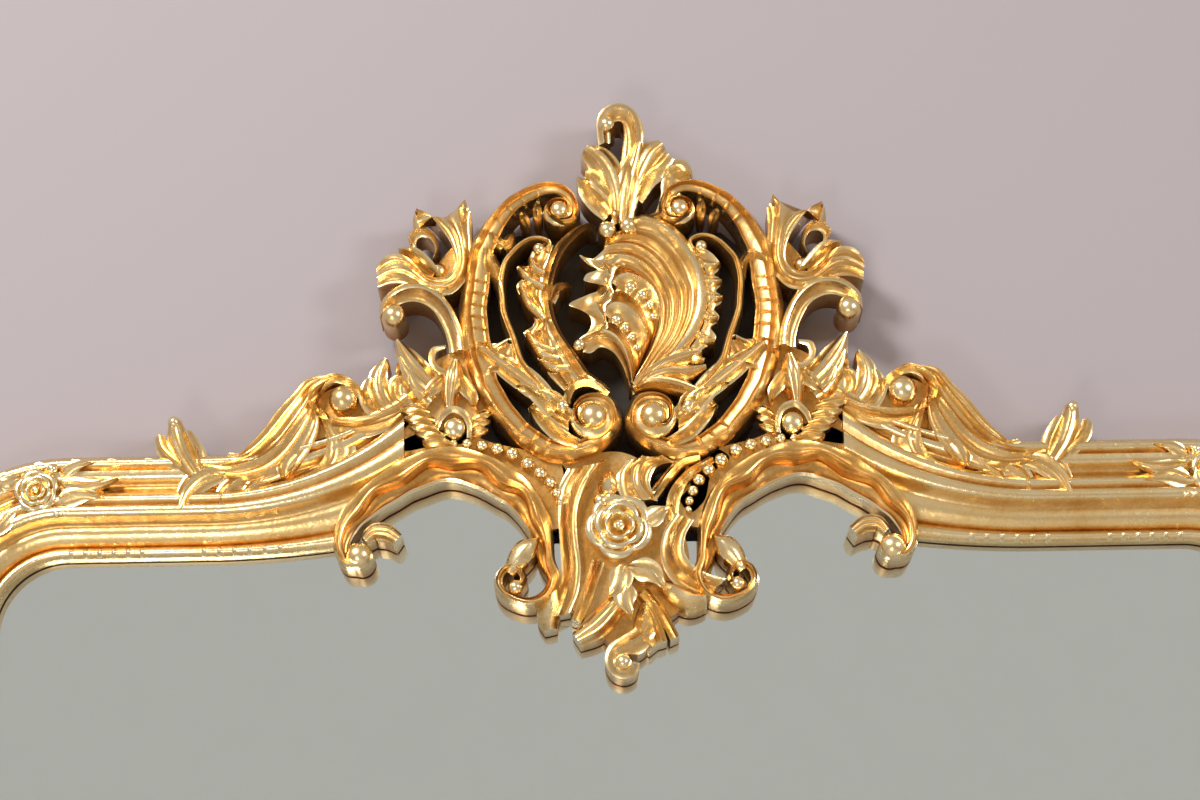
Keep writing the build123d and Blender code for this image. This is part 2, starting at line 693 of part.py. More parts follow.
drop_cover = [disc(drop_curl_centre + (drop_curl_radius + carving_gap,))]
centre_pieces["pendant_drop"] = dome(
    drop_curl_centre, drop_curl_radius, relief, blank_front, crest_home, 12)
centre_pieces["pendant_leaves"] = let_in(carving(rose_leaf, blade), rose_cover + drop_cover)
centre_pieces["pendant_scrolls"] = let_in(
    carving(pendant_bands, channel), rose_cover + drop_cover + pearl_cover + covers(rose_leaf + both(c_scroll)))
for name, piece in centre_pieces.items():
    with BuildPart() as carved_piece:
        add(piece)
    carved_piece.part.label = name
    export_step(carved_piece.part, "parts/" + name + ".step")

# Sprays of roses and leaves on the corners
spray_shapes = smooth(spray_leaves)
spray_cover = covers(spray_shapes) + [disc((x, h, radius + carving_gap)) for x, h, radius in spray_roses]
spray_home = (-corner_x, upper_corner_z)
spray_foot = frame_back + spray_seat
roses = [rosette((x, h), radius, spray_height, spray_foot, spray_home) for x, h, radius in spray_roses]
rose_room = raised([disc((x, h, radius)) for x, h, radius in spray_roses], 0, spray_foot + relief, spray_home)
with BuildPart() as spray:
    add(carving(spray_shapes, blade, [], spray_home, spray_foot))
    add(rose_room, mode=Mode.SUBTRACT)
    add(roses)
with BuildPart() as spray_seat_cut:
    add(raised(spray_cover, spray_foot, spray_foot + relief, spray_home))
frame_middle = Plane.XY.offset((sight_bottom + sight_top) / 2)
sprays = {"upper_left_spray": spray.part}
sprays["upper_right_spray"] = mirror(spray.part, about=Plane.YZ, mode=Mode.PRIVATE)
sprays["lower_left_spray"] = mirror(spray.part, about=frame_middle, mode=Mode.PRIVATE)
sprays["lower_right_spray"] = mirror(sprays["lower_left_spray"], about=Plane.YZ, mode=Mode.PRIVATE)
for name, piece in sprays.items():
    with BuildPart() as corner_spray:
        add(piece)
    corner_spray.part.label = name
    export_step(corner_spray.part, "parts/" + name + ".step")
lower_seat_cut = mirror(spray_seat_cut.part, about=frame_middle, mode=Mode.PRIVATE)

# Frame: the top rail in two halves that meet the crest, two stiles and the bottom rail
with BuildPart() as stile:
    with BuildSketch(stile_plane(lower_corner_z)):
        add(spread_moulding(level))
    extrude(amount=upper_corner_z - lower_corner_z)
    add(spray_seat_cut.part, mode=Mode.SUBTRACT)
    add(lower_seat_cut, mode=Mode.SUBTRACT)
    add(pilot_holes(splice_screws + tab_screws + hanger_screw_places), mode=Mode.SUBTRACT)

housed = covers(arch + console + tail + descending + wing)
housed += [disc(console_ball + (console_ball_radius + carving_gap,)), disc(hook_centre + (hook_radius,))]
with BuildPart() as top_rail:
    with BuildSketch(stile_plane(upper_corner_z)):
        add(spread_moulding(level))
    revolve(axis=Axis((-corner_x, 0, upper_corner_z), (0, 1, 0)), revolution_arc=90)
    with BuildSketch(rail_plane(-corner_x, 1)):
        add(spread_moulding(level))
    extrude(amount=corner_x - rail_rise_start)
    for x in fan_places:
        with BuildSketch(rail_plane(x, 1)):
            add(spread_moulding(fanned(x)))
    loft(ruled=True)
    add(glass_pocket, mode=Mode.SUBTRACT)
    add(arch_openings.part, mode=Mode.SUBTRACT)
    add(raised(housed, blank_front, blank_front + 3 * relief, crest_home), mode=Mode.SUBTRACT)
    add(spray_seat_cut.part, mode=Mode.SUBTRACT)
    add(pilot_holes(splice_screws + crest_screws), mode=Mode.SUBTRACT)

with BuildPart() as bottom_rail:
    with BuildSketch(stile_plane(lower_corner_z)):
        add(spread_moulding(level))
    revolve(axis=Axis((-corner_x, 0, lower_corner_z), (0, 1, 0)), revolution_arc=-90)
    with BuildSketch(rail_plane(-corner_x, -1)):
        add(spread_moulding(level))
    extrude(amount=-corner_x)
    add(lower_seat_cut, mode=Mode.SUBTRACT)
    add(pilot_holes(splice_screws), mode=Mode.SUBTRACT)
    mirror(about=Plane.YZ)
bottom_rail.part.label = "bottom_rail"
export_step(bottom_rail.part, "parts/bottom_rail.step")
for name, piece in (("stile", stile.part), ("top_rail", top_rail.part)):
    for side, shape in (("left", piece), ("right", mirror(piece, about=Plane.YZ, mode=Mode.PRIVATE))):
        with BuildPart() as frame_piece:
            add(shape)
        frame_piece.part.label = side + "_" + name
        export_step(frame_piece.part, "parts/" + side + "_" + name + ".step")

# Glazing: glass in front, its silver coat, and the panel that holds both in the rebate
panel_front = frame_back + panel_thickness
with BuildPart() as back_panel:
    add(glazing(glass_grow, frame_back, panel_front))
back_panel.part.label = "back_panel"
export_step(back_panel.part, "parts/back_panel.step")

with BuildPart() as silver_coat:
    add(glazing(glass_grow, panel_front, panel_front + coat_thickness))
silver_coat.part.label = "silver_coat"
export_step(silver_coat.part, "parts/silver_coat.step")

with BuildPart() as mirror_glass:
    add(glazing(glass_grow, panel_front + coat_thickness, glass_front))
mirror_glass.part.label = "mirror_glass"
export_step(mirror_glass.part, "parts/mirror_glass.step")

# Steel plates over the joints, and tabs that hold the panel
with BuildPart() as splice_plates:
    for x, z in splice_places:
        add(flat_bar((x, z), splice_length, splice_width, 90, splice_holes))
splice_plates.part.label = "splice_plates"
export_step(splice_plates.part, "parts/splice_plates.step")

with BuildPart() as crest_plates:
    for x, z, angle in crest_plate_places:
        add(flat_bar((x, z), crest_plate_length, splice_width, angle, crest_plate_holes))
crest_plates.part.label = "crest_plates"
export_step(crest_plates.part, "parts/crest_plates.step")

with BuildPart() as panel_tabs:
    for x, z, side in tab_places:
        add(flat_bar((x, z), tab_plate_length, tab_plate_width, 0, [side * tab_screw_reach]))
panel_tabs.part.label = "panel_tabs"
export_step(panel_tabs.part, "parts/panel_tabs.step")

for name, places in (("splice_screws", splice_screws), ("crest_screws", crest_screws),
                     ("tab_screws", tab_screws), ("hanger_screws", hanger_screw_places)):
    with BuildPart() as screws:
        for place in places:
            add(screw(place))
    screws.part.label = name
    export_step(screws.part, "parts/" + name + ".step")

# Rubber bumpers that rest on the wall
with BuildPart() as wall_bumpers:
    with BuildSketch(Plane.XZ):
        with Locations(*bumper_places):
            RegularPolygon(bumper_diameter / 2, 16)
    extrude(amount=wall_gap)
wall_bumpers.part.label = "wall_bumpers"
export_step(wall_bumpers.part, "parts/wall_bumpers.step")

# Hangers: a strap folded round the ring's straight bar, and the ring that hangs from it
ring_drop = ring_reach - ring_half_width
bar_half = ring_half_width - ring_bend
axis_y = -(frame_back - ring_axis_gap)
strap_back = -(frame_back - strap_thickness)
eye_radius = eye_outer_diameter / 2
bore_radius = ring_wire / 2 + ring_running_gap
for side in (-1, 1):
    side_name = "left" if side < 0 else "right"
    centre_x = side * stile_centre
    with BuildPart() as strap:
        with BuildSketch(Plane.YZ.offset(centre_x - strap_width / 2)):
            with Locations((axis_y, hanger_z)):
                RegularPolygon(eye_radius, 10, rotation=18)
            with Locations((-frame_back + strap_thickness / 2, hanger_z - strap_length / 2)):
                Rectangle(strap_thickness, strap_length)
            with Locations((axis_y, hanger_z)):
                Circle(bore_radius, mode=Mode.SUBTRACT)
        extrude(amount=strap_width)
        add(pilot_holes(hanger_screw_places), mode=Mode.SUBTRACT)
    strap.part.label = side_name + "_hanger_strap"
    export_step(strap.part, "parts/" + side_name + "_hanger_strap.step")

    arc_turns = [pi * i / ring_chords for i in range(ring_chords + 1)]
    bow = [(ring_half_width * cos(turn), -ring_drop - ring_half_width * sin(turn)) for turn in arc_turns]
    bow = [(bar_half - ring_lead, 0), (bar_half, 0), (ring_half_width, -ring_bend), *bow,
           (-ring_half_width, -ring_bend), (-bar_half, 0), (-bar_half + ring_lead, 0)]
    ring_plane = Plane(origin=(centre_x, axis_y, hanger_z), x_dir=(1, 0, 0), z_dir=(0, -1, 0))
    across_wire = Plane(origin=(centre_x, axis_y, hanger_z), x_dir=(0, 1, 0), z_dir=(1, 0, 0))
    with BuildPart() as ring:
        with BuildLine(ring_plane) as ring_path:
            Polyline(*bow)
        with BuildSketch(across_wire.offset(bar_half - ring_lead)):
            RegularPolygon(ring_wire / 2, 8, rotation=22.5)
        sweep(path=ring_path.line, transition=Transition.RIGHT)
        with BuildSketch(across_wire.offset(-bar_half + ring_lead)):
            Circle(ring_wire / 2)
        extrude(amount=2 * (bar_half - ring_lead))
    ring.part.label = side_name + "_hanger_ring"
    export_step(ring.part, "parts/" + side_name + "_hanger_ring.step")
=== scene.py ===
import math
import bmesh
import bpy
import numpy as np
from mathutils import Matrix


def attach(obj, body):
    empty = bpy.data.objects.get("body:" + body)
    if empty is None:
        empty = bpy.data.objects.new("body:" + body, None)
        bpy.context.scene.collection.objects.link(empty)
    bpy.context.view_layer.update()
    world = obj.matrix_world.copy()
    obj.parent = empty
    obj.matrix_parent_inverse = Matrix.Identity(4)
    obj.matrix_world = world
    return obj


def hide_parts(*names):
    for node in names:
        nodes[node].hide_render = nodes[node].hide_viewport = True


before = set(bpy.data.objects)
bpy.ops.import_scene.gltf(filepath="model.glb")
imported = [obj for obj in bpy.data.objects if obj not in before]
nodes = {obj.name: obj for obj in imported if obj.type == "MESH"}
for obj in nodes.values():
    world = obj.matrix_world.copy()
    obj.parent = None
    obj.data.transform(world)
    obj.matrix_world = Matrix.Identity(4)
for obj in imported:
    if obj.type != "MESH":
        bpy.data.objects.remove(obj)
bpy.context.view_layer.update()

# Room: a mauve-grey wall behind the mirror, a pale floor below it, a pale even room in front of it,
# which is what the glass shows, and three soft lamps.
# The camera stands in front and a little below the crest, and looks up at it.
camera_place = (-0.0184, -2.1519, 1.1568)
camera_rise = 107
camera_roll = -1
camera_lens = 82.5
wall_colour = (0.325, 0.288, 0.305, 1)
floor_colour = (0.62, 0.60, 0.57, 1)
room_colour = (0.50, 0.475, 0.45, 1)
floor_z = -0.25
wall_y = 0.0005

camera = bpy.data.objects.new("camera", bpy.data.cameras.new("camera"))
bpy.context.scene.collection.objects.link(camera)
camera.location = camera_place
camera.rotation_mode = "XYZ"
camera.rotation_euler = (math.radians(camera_rise), 0, 0)
camera.data.sensor_width = 36
camera.data.lens = camera_lens
camera.data.clip_start = 0.05
bpy.context.view_layer.update()
camera.rotation_euler.rotate_axis("Z", math.radians(camera_roll))
bpy.context.scene.camera = camera
bpy.context.scene.view_settings.view_transform = "Standard"

world = bpy.data.worlds.new("room")
bpy.context.scene.world = world
world.use_nodes = True
world.node_tree.nodes["Background"].inputs["Color"].default_value = room_colour
world.node_tree.nodes["Background"].inputs["Strength"].default_value = 1.0


def plain_material(name, colour, roughness, metallic=0.0):
    """A material of one colour; gives the material and its shader."""
    made = bpy.data.materials.new(name)
    made.use_nodes = True
    shader = made.node_tree.nodes["Principled BSDF"]
    shader.inputs["Base Color"].default_value = colour
    shader.inputs["Roughness"].default_value = roughness
    shader.inputs["Metallic"].default_value = metallic
    return made, shader


def one_sided(made, shader):
    """The back of the sheet lets everything through, so the wall never hides the mirror's back."""
    tree = made.node_tree
    clear = tree.nodes.new("ShaderNodeBsdfTransparent")
    side = tree.nodes.new("ShaderNodeNewGeometry")
    mix = tree.nodes.new("ShaderNodeMixShader")
    tree.links.new(side.outputs["Backfacing"], mix.inputs[0])
    tree.links.new(shader.outputs[0], mix.inputs[1])
    tree.links.new(clear.outputs[0], mix.inputs[2])
    tree.links.new(mix.outputs[0], tree.nodes["Material Output"].inputs["Surface"])


def sheet(name, corners, colour, roughness):
    """A flat stage sheet with its corners anticlockwise as seen from its shown side."""
    mesh = bpy.data.meshes.new(name)
    mesh.from_pydata(corners, [], [(0, 1, 2, 3)])
    made = bpy.data.objects.new(name, mesh)
    bpy.context.scene.collection.objects.link(made)
    material, shader = plain_material(name, colour, roughness)
    one_sided(material, shader)
    mesh.materials.append(material)


sheet("wall", [(-4, wall_y, floor_z), (4, wall_y, floor_z), (4, wall_y, 4), (-4, wall_y, 4)], wall_colour,
      0.9)
sheet("floor", [(-4, -5, floor_z), (4, -5, floor_z), (4, wall_y, floor_z), (-4, wall_y, floor_z)],
      floor_colour, 0.8)


def lamp(name, place, target, size, power, colour):
    """A square soft lamp that faces the target."""
    light = bpy.data.lights.new(name, "AREA")
    light.size = size
    light.energy = power
    light.color = colour
    made = bpy.data.objects.new(name, light)
    bpy.context.scene.collection.objects.link(made)
    made.location = place
    aim = np.array(target) - np.array(place)
    made.rotation_euler = (math.atan2(math.hypot(aim[0], aim[1]), -aim[2]), 0,
                           math.atan2(aim[0], -aim[1]) + math.pi)


lamp("key", (-1.5, -2.3, 3.2), (0, 0, 1.8), 0.75, 88, (1.0, 0.98, 0.95))
lamp("fill", (2.2, -2.3, 2.2), (0, 0, 1.7), 0.7, 34, (1.0, 0.98, 0.95))
lamp("low", (-0.7, -2.5, 0.1), (0, 0, 1.8), 0.6, 14, (1.0, 0.96, 0.90))

# Gilding: water-gilt wood, burnished on the ridges, with brown wax left in the hollows; the near-white ridge
# colour is painted highlight and the darkest brown is wax deepened by painted shade.
# Each carved piece carries an attribute that is above 0 on ridges, where it paints highlight, and below 0 in
# hollows and deep corners, where it paints shade.
ridge_gold_and_painted_highlight = (0.98, 0.88, 0.62, 1)
plain_gold = (0.82, 0.58, 0.26, 1)
deep_gold = (0.55, 0.26, 0.055, 1)
hollow_wax_and_painted_shade = (0.13, 0.052, 0.012, 1)


def group(name, inputs, outputs):
    """A node group with named sockets; gives the group, its input node and its output node."""
    made = bpy.data.node_groups.new(name, "ShaderNodeTree")
    for label, kind in inputs:
        made.interface.new_socket(label, in_out="INPUT", socket_type=kind)
    for label, kind in outputs:
        made.interface.new_socket(label, in_out="OUTPUT", socket_type=kind)
    return made, made.nodes.new("NodeGroupInput"), made.nodes.new("NodeGroupOutput")


def sums(tree, operation, *values):
    """One math node on the values, each a number or another node's output."""
    node = tree.nodes.new("ShaderNodeMath")
    node.operation = operation
    for i, value in enumerate(values):
        if isinstance(value, (int, float)):
            node.inputs[i].default_value = value
        else:
            tree.links.new(value, node.inputs[i])
    return node.outputs[0]


def noise(tree, place, scale, detail=3.0):
    """A noise value about 0.5 at the given place."""
    node = tree.nodes.new("ShaderNodeTexNoise")
    node.inputs["Scale"].default_value = scale
    node.inputs["Detail"].default_value = detail
    tree.links.new(place, node.inputs["Vector"])
    return node.outputs["Fac"]


def ramp(tree, value, stops):
    """A colour for each value, from (place, colour) stops."""
    node = tree.nodes.new("ShaderNodeValToRGB")
    band = node.color_ramp
    while len(band.elements) < len(stops):
        band.elements.new(0.5)
    for element, (place, colour) in zip(band.elements, stops):
        element.position = place
        element.color = colour
    tree.links.new(value, node.inputs["Fac"])
    return node.outputs["Color"]


gilt, gilt_in, gilt_out = group(
    "gilt", [("Wear_and_painted_light", "NodeSocketFloat"), ("Place", "NodeSocketVector")],
    [("Color", "NodeSocketColor"), ("Roughness", "NodeSocketFloat"), ("Normal", "NodeSocketVector")])
place = gilt_in.outputs["Place"]
# The attribute paints highlight on ridges and shade in hollows and deep corners, over the burnish and wax;
# mottle and speckle are the gilding's own random tone.
mottle = sums(gilt, "MULTIPLY", sums(gilt, "SUBTRACT", noise(gilt, place, 38), 0.5), 0.34)
speckle = sums(gilt, "MULTIPLY", sums(gilt, "SUBTRACT", noise(gilt, place, 420), 0.5), 0.22)
tone = sums(gilt, "ADD", sums(gilt, "ADD", sums(gilt, "MULTIPLY", gilt_in.outputs["Wear_and_painted_light"], 0.62), 0.55),
            sums(gilt, "ADD", mottle, speckle))
gilt.links.new(ramp(gilt, tone, [(0.08, hollow_wax_and_painted_shade), (0.34, deep_gold), (0.58, plain_gold),
                                 (0.92, ridge_gold_and_painted_highlight)]),
               gilt_out.inputs["Color"])
rough = sums(gilt, "SUBTRACT", 0.44, sums(gilt, "MULTIPLY", tone, 0.26))
gilt.links.new(sums(gilt, "MAXIMUM", rough, 0.2), gilt_out.inputs["Roughness"])
bump = gilt.nodes.new("ShaderNodeBump")
bump.inputs["Strength"].default_value = 0.5
bump.inputs["Distance"].default_value = 0.0006
gilt.links.new(sums(gilt, "ADD", noise(gilt, place, 170, 2.0), sums(gilt, "MULTIPLY",
                                                                    noise(gilt, place, 900), 0.25)),
               bump.inputs["Height"])
gilt.links.new(bump.outputs["Normal"], gilt_out.inputs["Normal"])


def gilding(name):
    """The gilt material, which reads the attribute of burnish, wax, painted highlight and painted shade, and
    Object coordinates.
    """
    made, shader = plain_material(name, plain_gold, 0.34, 1.0)
    tree = made.node_tree
    worn_and_painted_light = tree.nodes.new("ShaderNodeAttribute")
    worn_and_painted_light.attribute_name = "wear_and_painted_light"
    where = tree.nodes.new("ShaderNodeTexCoord")
    layer = tree.nodes.new("ShaderNodeGroup")
    layer.node_tree = gilt
    tree.links.new(worn_and_painted_light.outputs["Fac"], layer.inputs["Wear_and_painted_light"])
    tree.links.new(where.outputs["Object"], layer.inputs["Place"])
    tree.links.new(layer.outputs["Color"], shader.inputs["Base Color"])
    tree.links.new(layer.outputs["Roughness"], shader.inputs["Roughness"])
    tree.links.new(layer.outputs["Normal"], shader.inputs["Normal"])
    return made


gold = gilding("gilding")


# Moulding: the frame's stiles and rails, run in one section with round corners and gilded.
# From the glass outwards it has the sight bead, the ogee, the crown with its astragal, the cavetto and the
# ribbon.
# The top rail spreads and climbs towards the crest.
half_sight = 500
sight_bottom = 80
sight_top = 1680
corner_radius = 56
ledge_width = 49
moulding_width = 80
rise_start = 330
rail_end = 175
frame_back = 8
guide_widths = (0, ledge_width, moulding_width)
corner_x = half_sight - corner_radius
upper_corner_z = sight_top - corner_radius
lower_corner_z = sight_bottom + corner_radius
rise_radii = (812, 231, 313)
arch_clearance = 76
arch_centre_x = -143
arch_centre_z = 1676
sides = (("left", False), ("right", True))


def bow(start, end, swell, steps=6):
    """Places from start to end along P = A + t (B - A), lifted by 4 s t (1 - t)."""
    t = np.linspace(0, 1, steps + 1)[1:, None]
    line = np.array(start) + t * (np.array(end) - np.array(start))
    line[:, 1] += (4 * swell * t * (1 - t))[:, 0]
    return line.tolist()


section = np.array([
    (10, 0), (10, 13.3), (0, 13.3), (0, 25), *bow((0, 25), (9, 25), 4.6, 8), (10, 24), (11, 25.5),
    *bow((11, 25.5), (24, 31), 2.2, 8), *bow((24, 31), (31.5, 42.5), -3, 6),
                    *bow((31.5, 42.5), (39, 43), 1.3, 6),
    (40.3, 40.5), *bow((41.5, 41), (48, 42), 2.2, 6), (49.2, 41), *bow((49.2, 41), (61.5, 40), -6, 8),
    *bow((61.5, 40), (68, 41), 0.5, 2), (69, 38), *bow((69.6, 38), (80, 38), 5, 10), (80, 0)], float)


def shell(rings):
    """A closed skin of quads from ring to ring, (rings, points, 3), with the first and last ring filled."""
    count, around, _ = rings.shape
    i = np.arange(count * around).reshape(count, around)
    j = np.roll(i, -1, axis=1)
    quads = np.stack([i[:-1], j[:-1], j[1:], i[1:]], -1).reshape(-1, 4)
    return rings.reshape(-1, 3), quads.tolist() + [i[0][::-1].tolist(), i[-1].tolist()]


def wear_and_painted_light_of(mesh, shade):
    """Convexity at each vertex, which paints highlight on ridges and shade in hollows, less painted shade
    low between the carvings.

    It is the mean of (Ni - Nj) . (Pi - Pj) / |Pi - Pj|^1.5 over the edges, less 0.7 (shade - d) /
    30 below the shade.
    """
    count = len(mesh.vertices)
    place = np.empty(count * 3)
    mesh.vertices.foreach_get("co", place)
    place = place.reshape(-1, 3) * 1000
    normal = np.empty(count * 3)
    mesh.vertices.foreach_get("normal", normal)
    normal = normal.reshape(-1, 3)
    edge = np.empty(len(mesh.edges) * 2, int)
    mesh.edges.foreach_get("vertices", edge)
    a, b = edge.reshape(-1, 2).T
    step = place[a] - place[b]
    length = np.maximum(np.linalg.norm(step, axis=1), 0.05)
    bend = np.einsum("ij,ij->i", normal[a] - normal[b], step) / length ** 1.5
    total = np.zeros(count)
    number = np.zeros(count)
    np.add.at(total, a, bend)
    np.add.at(total, b, bend)
    np.add.at(number, a, 1)
    np.add.at(number, b, 1)
    worn_and_painted_light = np.clip(total / np.maximum(number, 1) * 1.6, -1, 1)
    eased_sum = worn_and_painted_light.copy()
    np.add.at(eased_sum, a, worn_and_painted_light[b])
    np.add.at(eased_sum, b, worn_and_painted_light[a])
    # painted shade: darker the nearer a vertex lies to the wall below the shade depth, where carvings crowd
    # and shade falls
    painted_shade = 0.7 * np.clip((shade + place[:, 1]) / 30, 0, 1)
    return np.clip(0.6 * worn_and_painted_light + 0.4 * eased_sum / (number + 1) - painted_shade, -1, 1)


def piece(name, shapes, replaced, material, body="frame", mirrored=False, crease=48, shade=47):
    """Joins shapes given in mm as (x, distance from the wall, z) into one object that stands for the named
    plain nodes."""
    places = []
    faces = []
    start = 0
    for points, polygons in shapes:
        places.append(points)
        faces += [[i + start for i in polygon] for polygon in polygons]
        start += len(points)
    places = np.concatenate(places) * [-0.001 if mirrored else 0.001, -0.001, 0.001]
    mesh = bpy.data.meshes.new(name)
    mesh.from_pydata(places.tolist(), [], faces)
    work = bmesh.new()
    work.from_mesh(mesh)
    bmesh.ops.remove_doubles(work, verts=work.verts, dist=0.00002)
    bmesh.ops.dissolve_degenerate(work, edges=work.edges, dist=0.00001)
    bmesh.ops.recalc_face_normals(work, faces=work.faces)
    work.to_mesh(mesh)
    work.free()
    # The attribute holds burnish and wax, with painted highlight on ridges and painted shade in hollows and
    # below the shade depth.
    worn_and_painted_light = mesh.attributes.new("wear_and_painted_light", "FLOAT", "POINT")
    worn_and_painted_light.data.foreach_set("value", wear_and_painted_light_of(mesh, shade))
    mesh.shade_smooth()
    mesh.set_sharp_from_angle(angle=math.radians(crease))
    mesh.materials.append(material)
    made = bpy.data.objects.new(name, mesh)
    bpy.context.scene.collection.objects.link(made)
    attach(made, body)
    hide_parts(*replaced)


def swept(sight, ledge, outer, closed=True):
    """The section carried along three guide lines: the sight edge, the ledge at 49 and the outer edge at
    80."""
    u = section[:, 0]
    inner = np.clip(u / ledge_width, 0, 1)[None, :, None]
    over = np.clip((u - ledge_width) / (moulding_width - ledge_width), 0, 1)[None, :, None]
    across = sight[:, None] + inner * (ledge - sight)[:, None] + over * (outer - ledge)[:, None]
    depth = np.broadcast_to(section[:, 1] + frame_back, across.shape[:2])
    rings = np.stack([across[..., 0], depth, across[..., 1]], -1)
    return shell(rings) if closed else rings


def corner(radius, centre, first, last, count):
    """Places on a quarter round: C + r (cos a, sin a)."""
    a = np.radians(np.linspace(first, last, count))
    return np.c_[centre[0] + radius * np.cos(a), centre[1] + radius * np.sin(a)]


def risen(radius, distance):
    """An arc that starts level: r - sqrt(r r - d d)."""
    return radius - np.sqrt(radius ** 2 - distance ** 2)


turns = [corner(corner_radius + width, (-corner_x, upper_corner_z), 180, 90, 20) for width in guide_widths]
level_run = [np.array([(-corner_x, sight_top + width), (-rise_start, sight_top + width)], float)
             for width in guide_widths]
corner_rings = swept(*[np.r_[a, b] for a, b in zip(turns, level_run)], closed=False)


def spread(x):
    """The height of each member of the section at x, (members,), as the rail climbs and spreads."""
    low, ledge, high = [sight_top + width + risen(radius, np.maximum(x + rise_start, 0))
                        for width, radius in zip(guide_widths, rise_radii)]
    u = section[:, 0]
    inner = np.clip(u / ledge_width, 0, 1)
    over = np.clip((u - ledge_width) / (moulding_width - ledge_width), 0, 1)
    return low + inner * (ledge - low) + over * (high - ledge)


stop = np.full(len(section), -220.0)
for _ in range(30):
    room = arch_clearance ** 2 - (spread(stop) - arch_centre_z) ** 2
    stop = 0.5 * stop + 0.5 * np.minimum(arch_centre_x - np.sqrt(np.maximum(room, 0)), -rail_end)
climb_rings = []
for t in np.linspace(0, 1, 34)[1:]:
    x = -rise_start + t * (stop + rise_start)
    climb_rings.append(np.stack([x, section[:, 1] + frame_back, spread(x)], -1))
top_rail = shell(np.concatenate([corner_rings, np.array(climb_rings)]))
bottom = []
for width in guide_widths:
    left = corner(corner_radius + width, (-corner_x, lower_corner_z), 180, 270, 20)
    right = left[::-1] * [-1, 1]
    bottom.append(np.r_[left, right])
bottom_rail = swept(*bottom)
stile = swept(*[np.array([(-half_sight - width, lower_corner_z), (-half_sight - width, upper_corner_z)],
                         float)
                for width in guide_widths])


# Beading on the moulding: near each corner the outer ribbon carries long eyes with a pair of ticks between
# them,
# and the sight bead carries short rows of small cupped ticks; all are raised in the gesso.
def along(points, count):
    """Places on P(s) = (2s3-3s2+1) A + (s3-2s2+s) a + (3s2-2s3) B + (s3-s2) b on each chord, with central
    slopes."""
    p = np.asarray(points, float)
    d = np.r_[0, np.cumsum(np.linalg.norm(np.diff(p, axis=0), axis=1))]
    slope = np.gradient(p, d, axis=0)
    t = np.linspace(0, d[-1], count)
    k = np.clip(np.searchsorted(d, t, "right") - 1, 0, len(d) - 2)
    h = (d[k + 1] - d[k])[:, None]
    s = (t - d[k])[:, None] / h
    return ((2 * s ** 3 - 3 * s ** 2 + 1) * p[k] + (s ** 3 - 2 * s ** 2 + s) * h * slope[k]
            + (3 * s ** 2 - 2 * s ** 3) * p[k + 1] + (s ** 3 - s ** 2) * h * slope[k + 1])


def eased(values, count):
    """A smooth run of values through the given ones, which stand at even steps."""
    v = np.atleast_1d(np.asarray(values, float))
    if len(v) == 1:
        return np.full(count, v[0])
    return along(np.c_[np.arange(len(v)) * 100.0, v], count)[:, 1]


def beside(line, offset):
    """The line moved square to its run: P + w N, to its left where w is positive."""
    step = np.gradient(line, axis=0)
    step /= np.maximum(np.linalg.norm(step, axis=1), 1e-9)[:, None]
    return line + np.c_[-step[:, 1], step[:, 0]] * eased(offset, len(line))[:, None]


def carve(ridges, depths=54, dips=0.25, base=14, count=40, across=5):
    """A solid whose front runs over the ridges, with its back flat.

    Between neighbours: P = A + w (B - A) and d = dA + w (dB - dA) - 4 w (1 - w) dip |B - A|.
    """
    lines = [r if isinstance(r, np.ndarray) and len(r) == count else along(r, count) for r in ridges]
    heights = [eased(d, count) for d in (depths if isinstance(depths, list) else [depths] * len(lines))]
    sags = dips if isinstance(dips, list) else [dips] * (len(lines) - 1)
    w = np.linspace(0, 1, across + 1)[:-1]
    rows = []
    for i in range(len(lines) - 1):
        gap = np.linalg.norm(lines[i + 1] - lines[i], axis=1)[:, None]
        spot = lines[i][:, None] + w[None, :, None] * (lines[i + 1] - lines[i])[:, None]
        depth = heights[i][:, None] + w * (heights[i + 1] - heights[i])[:, None]
        depth = depth - 4 * w * (1 - w) * eased(sags[i], count)[:, None] * gap
        rows.append(np.stack([spot[..., 0], depth, spot[..., 1]], -1))
    rows.append(np.stack([lines[-1][:, 0], heights[-1], lines[-1][:, 1]], -1)[:, None])
    front = np.concatenate(rows, axis=1)
    feet = front[:, [-1, 0]].copy()
    feet[..., 1] = base
    return shell(np.concatenate([front, feet], axis=1))


def frond(line, widths, ribs=(0,), crown=54, edge=47, dips=0.22, base=14, count=36, across=4):
    """A leaf on its middle line, with its ribs at shares of its half width and its edges lower."""
    middle = along(line, count)
    half = eased(widths, count)
    ridges = [beside(middle, half * share) for share in (1, *ribs[::-1], -1)]
    return carve(ridges, [edge] + [crown] * len(ribs) + [edge], dips, base, count, across)


def knob(x, z, radius, top, base=14, around=22, rings=9, flat=1.0):
    """A half ball on a round post: rings of radius r cos a at top - f r (1 - sin a)."""
    a = np.radians(np.linspace(0, 90, rings))
    reach = np.r_[1, np.cos(a)] * radius
    depth = np.r_[base, top - flat * radius * (1 - np.sin(a))]
    turn = np.linspace(0, 2 * np.pi, around, endpoint=False)
    rows = np.stack([x + reach[:, None] * np.cos(turn), np.broadcast_to(depth[:, None],
                                                                        (len(depth), around)),
                     z + reach[:, None] * np.sin(turn)], -1)
    return shell(rows)


def turned(points, centre, angle):
    """Points about (0, 0) turned by the angle in degrees and moved to the centre."""
    c, s = math.cos(math.radians(angle)), math.sin(math.radians(angle))
    p = np.asarray(points, float)
    return np.c_[centre[0] + p[:, 0] * c - p[:, 1] * s, centre[1] + p[:, 0] * s + p[:, 1] * c]


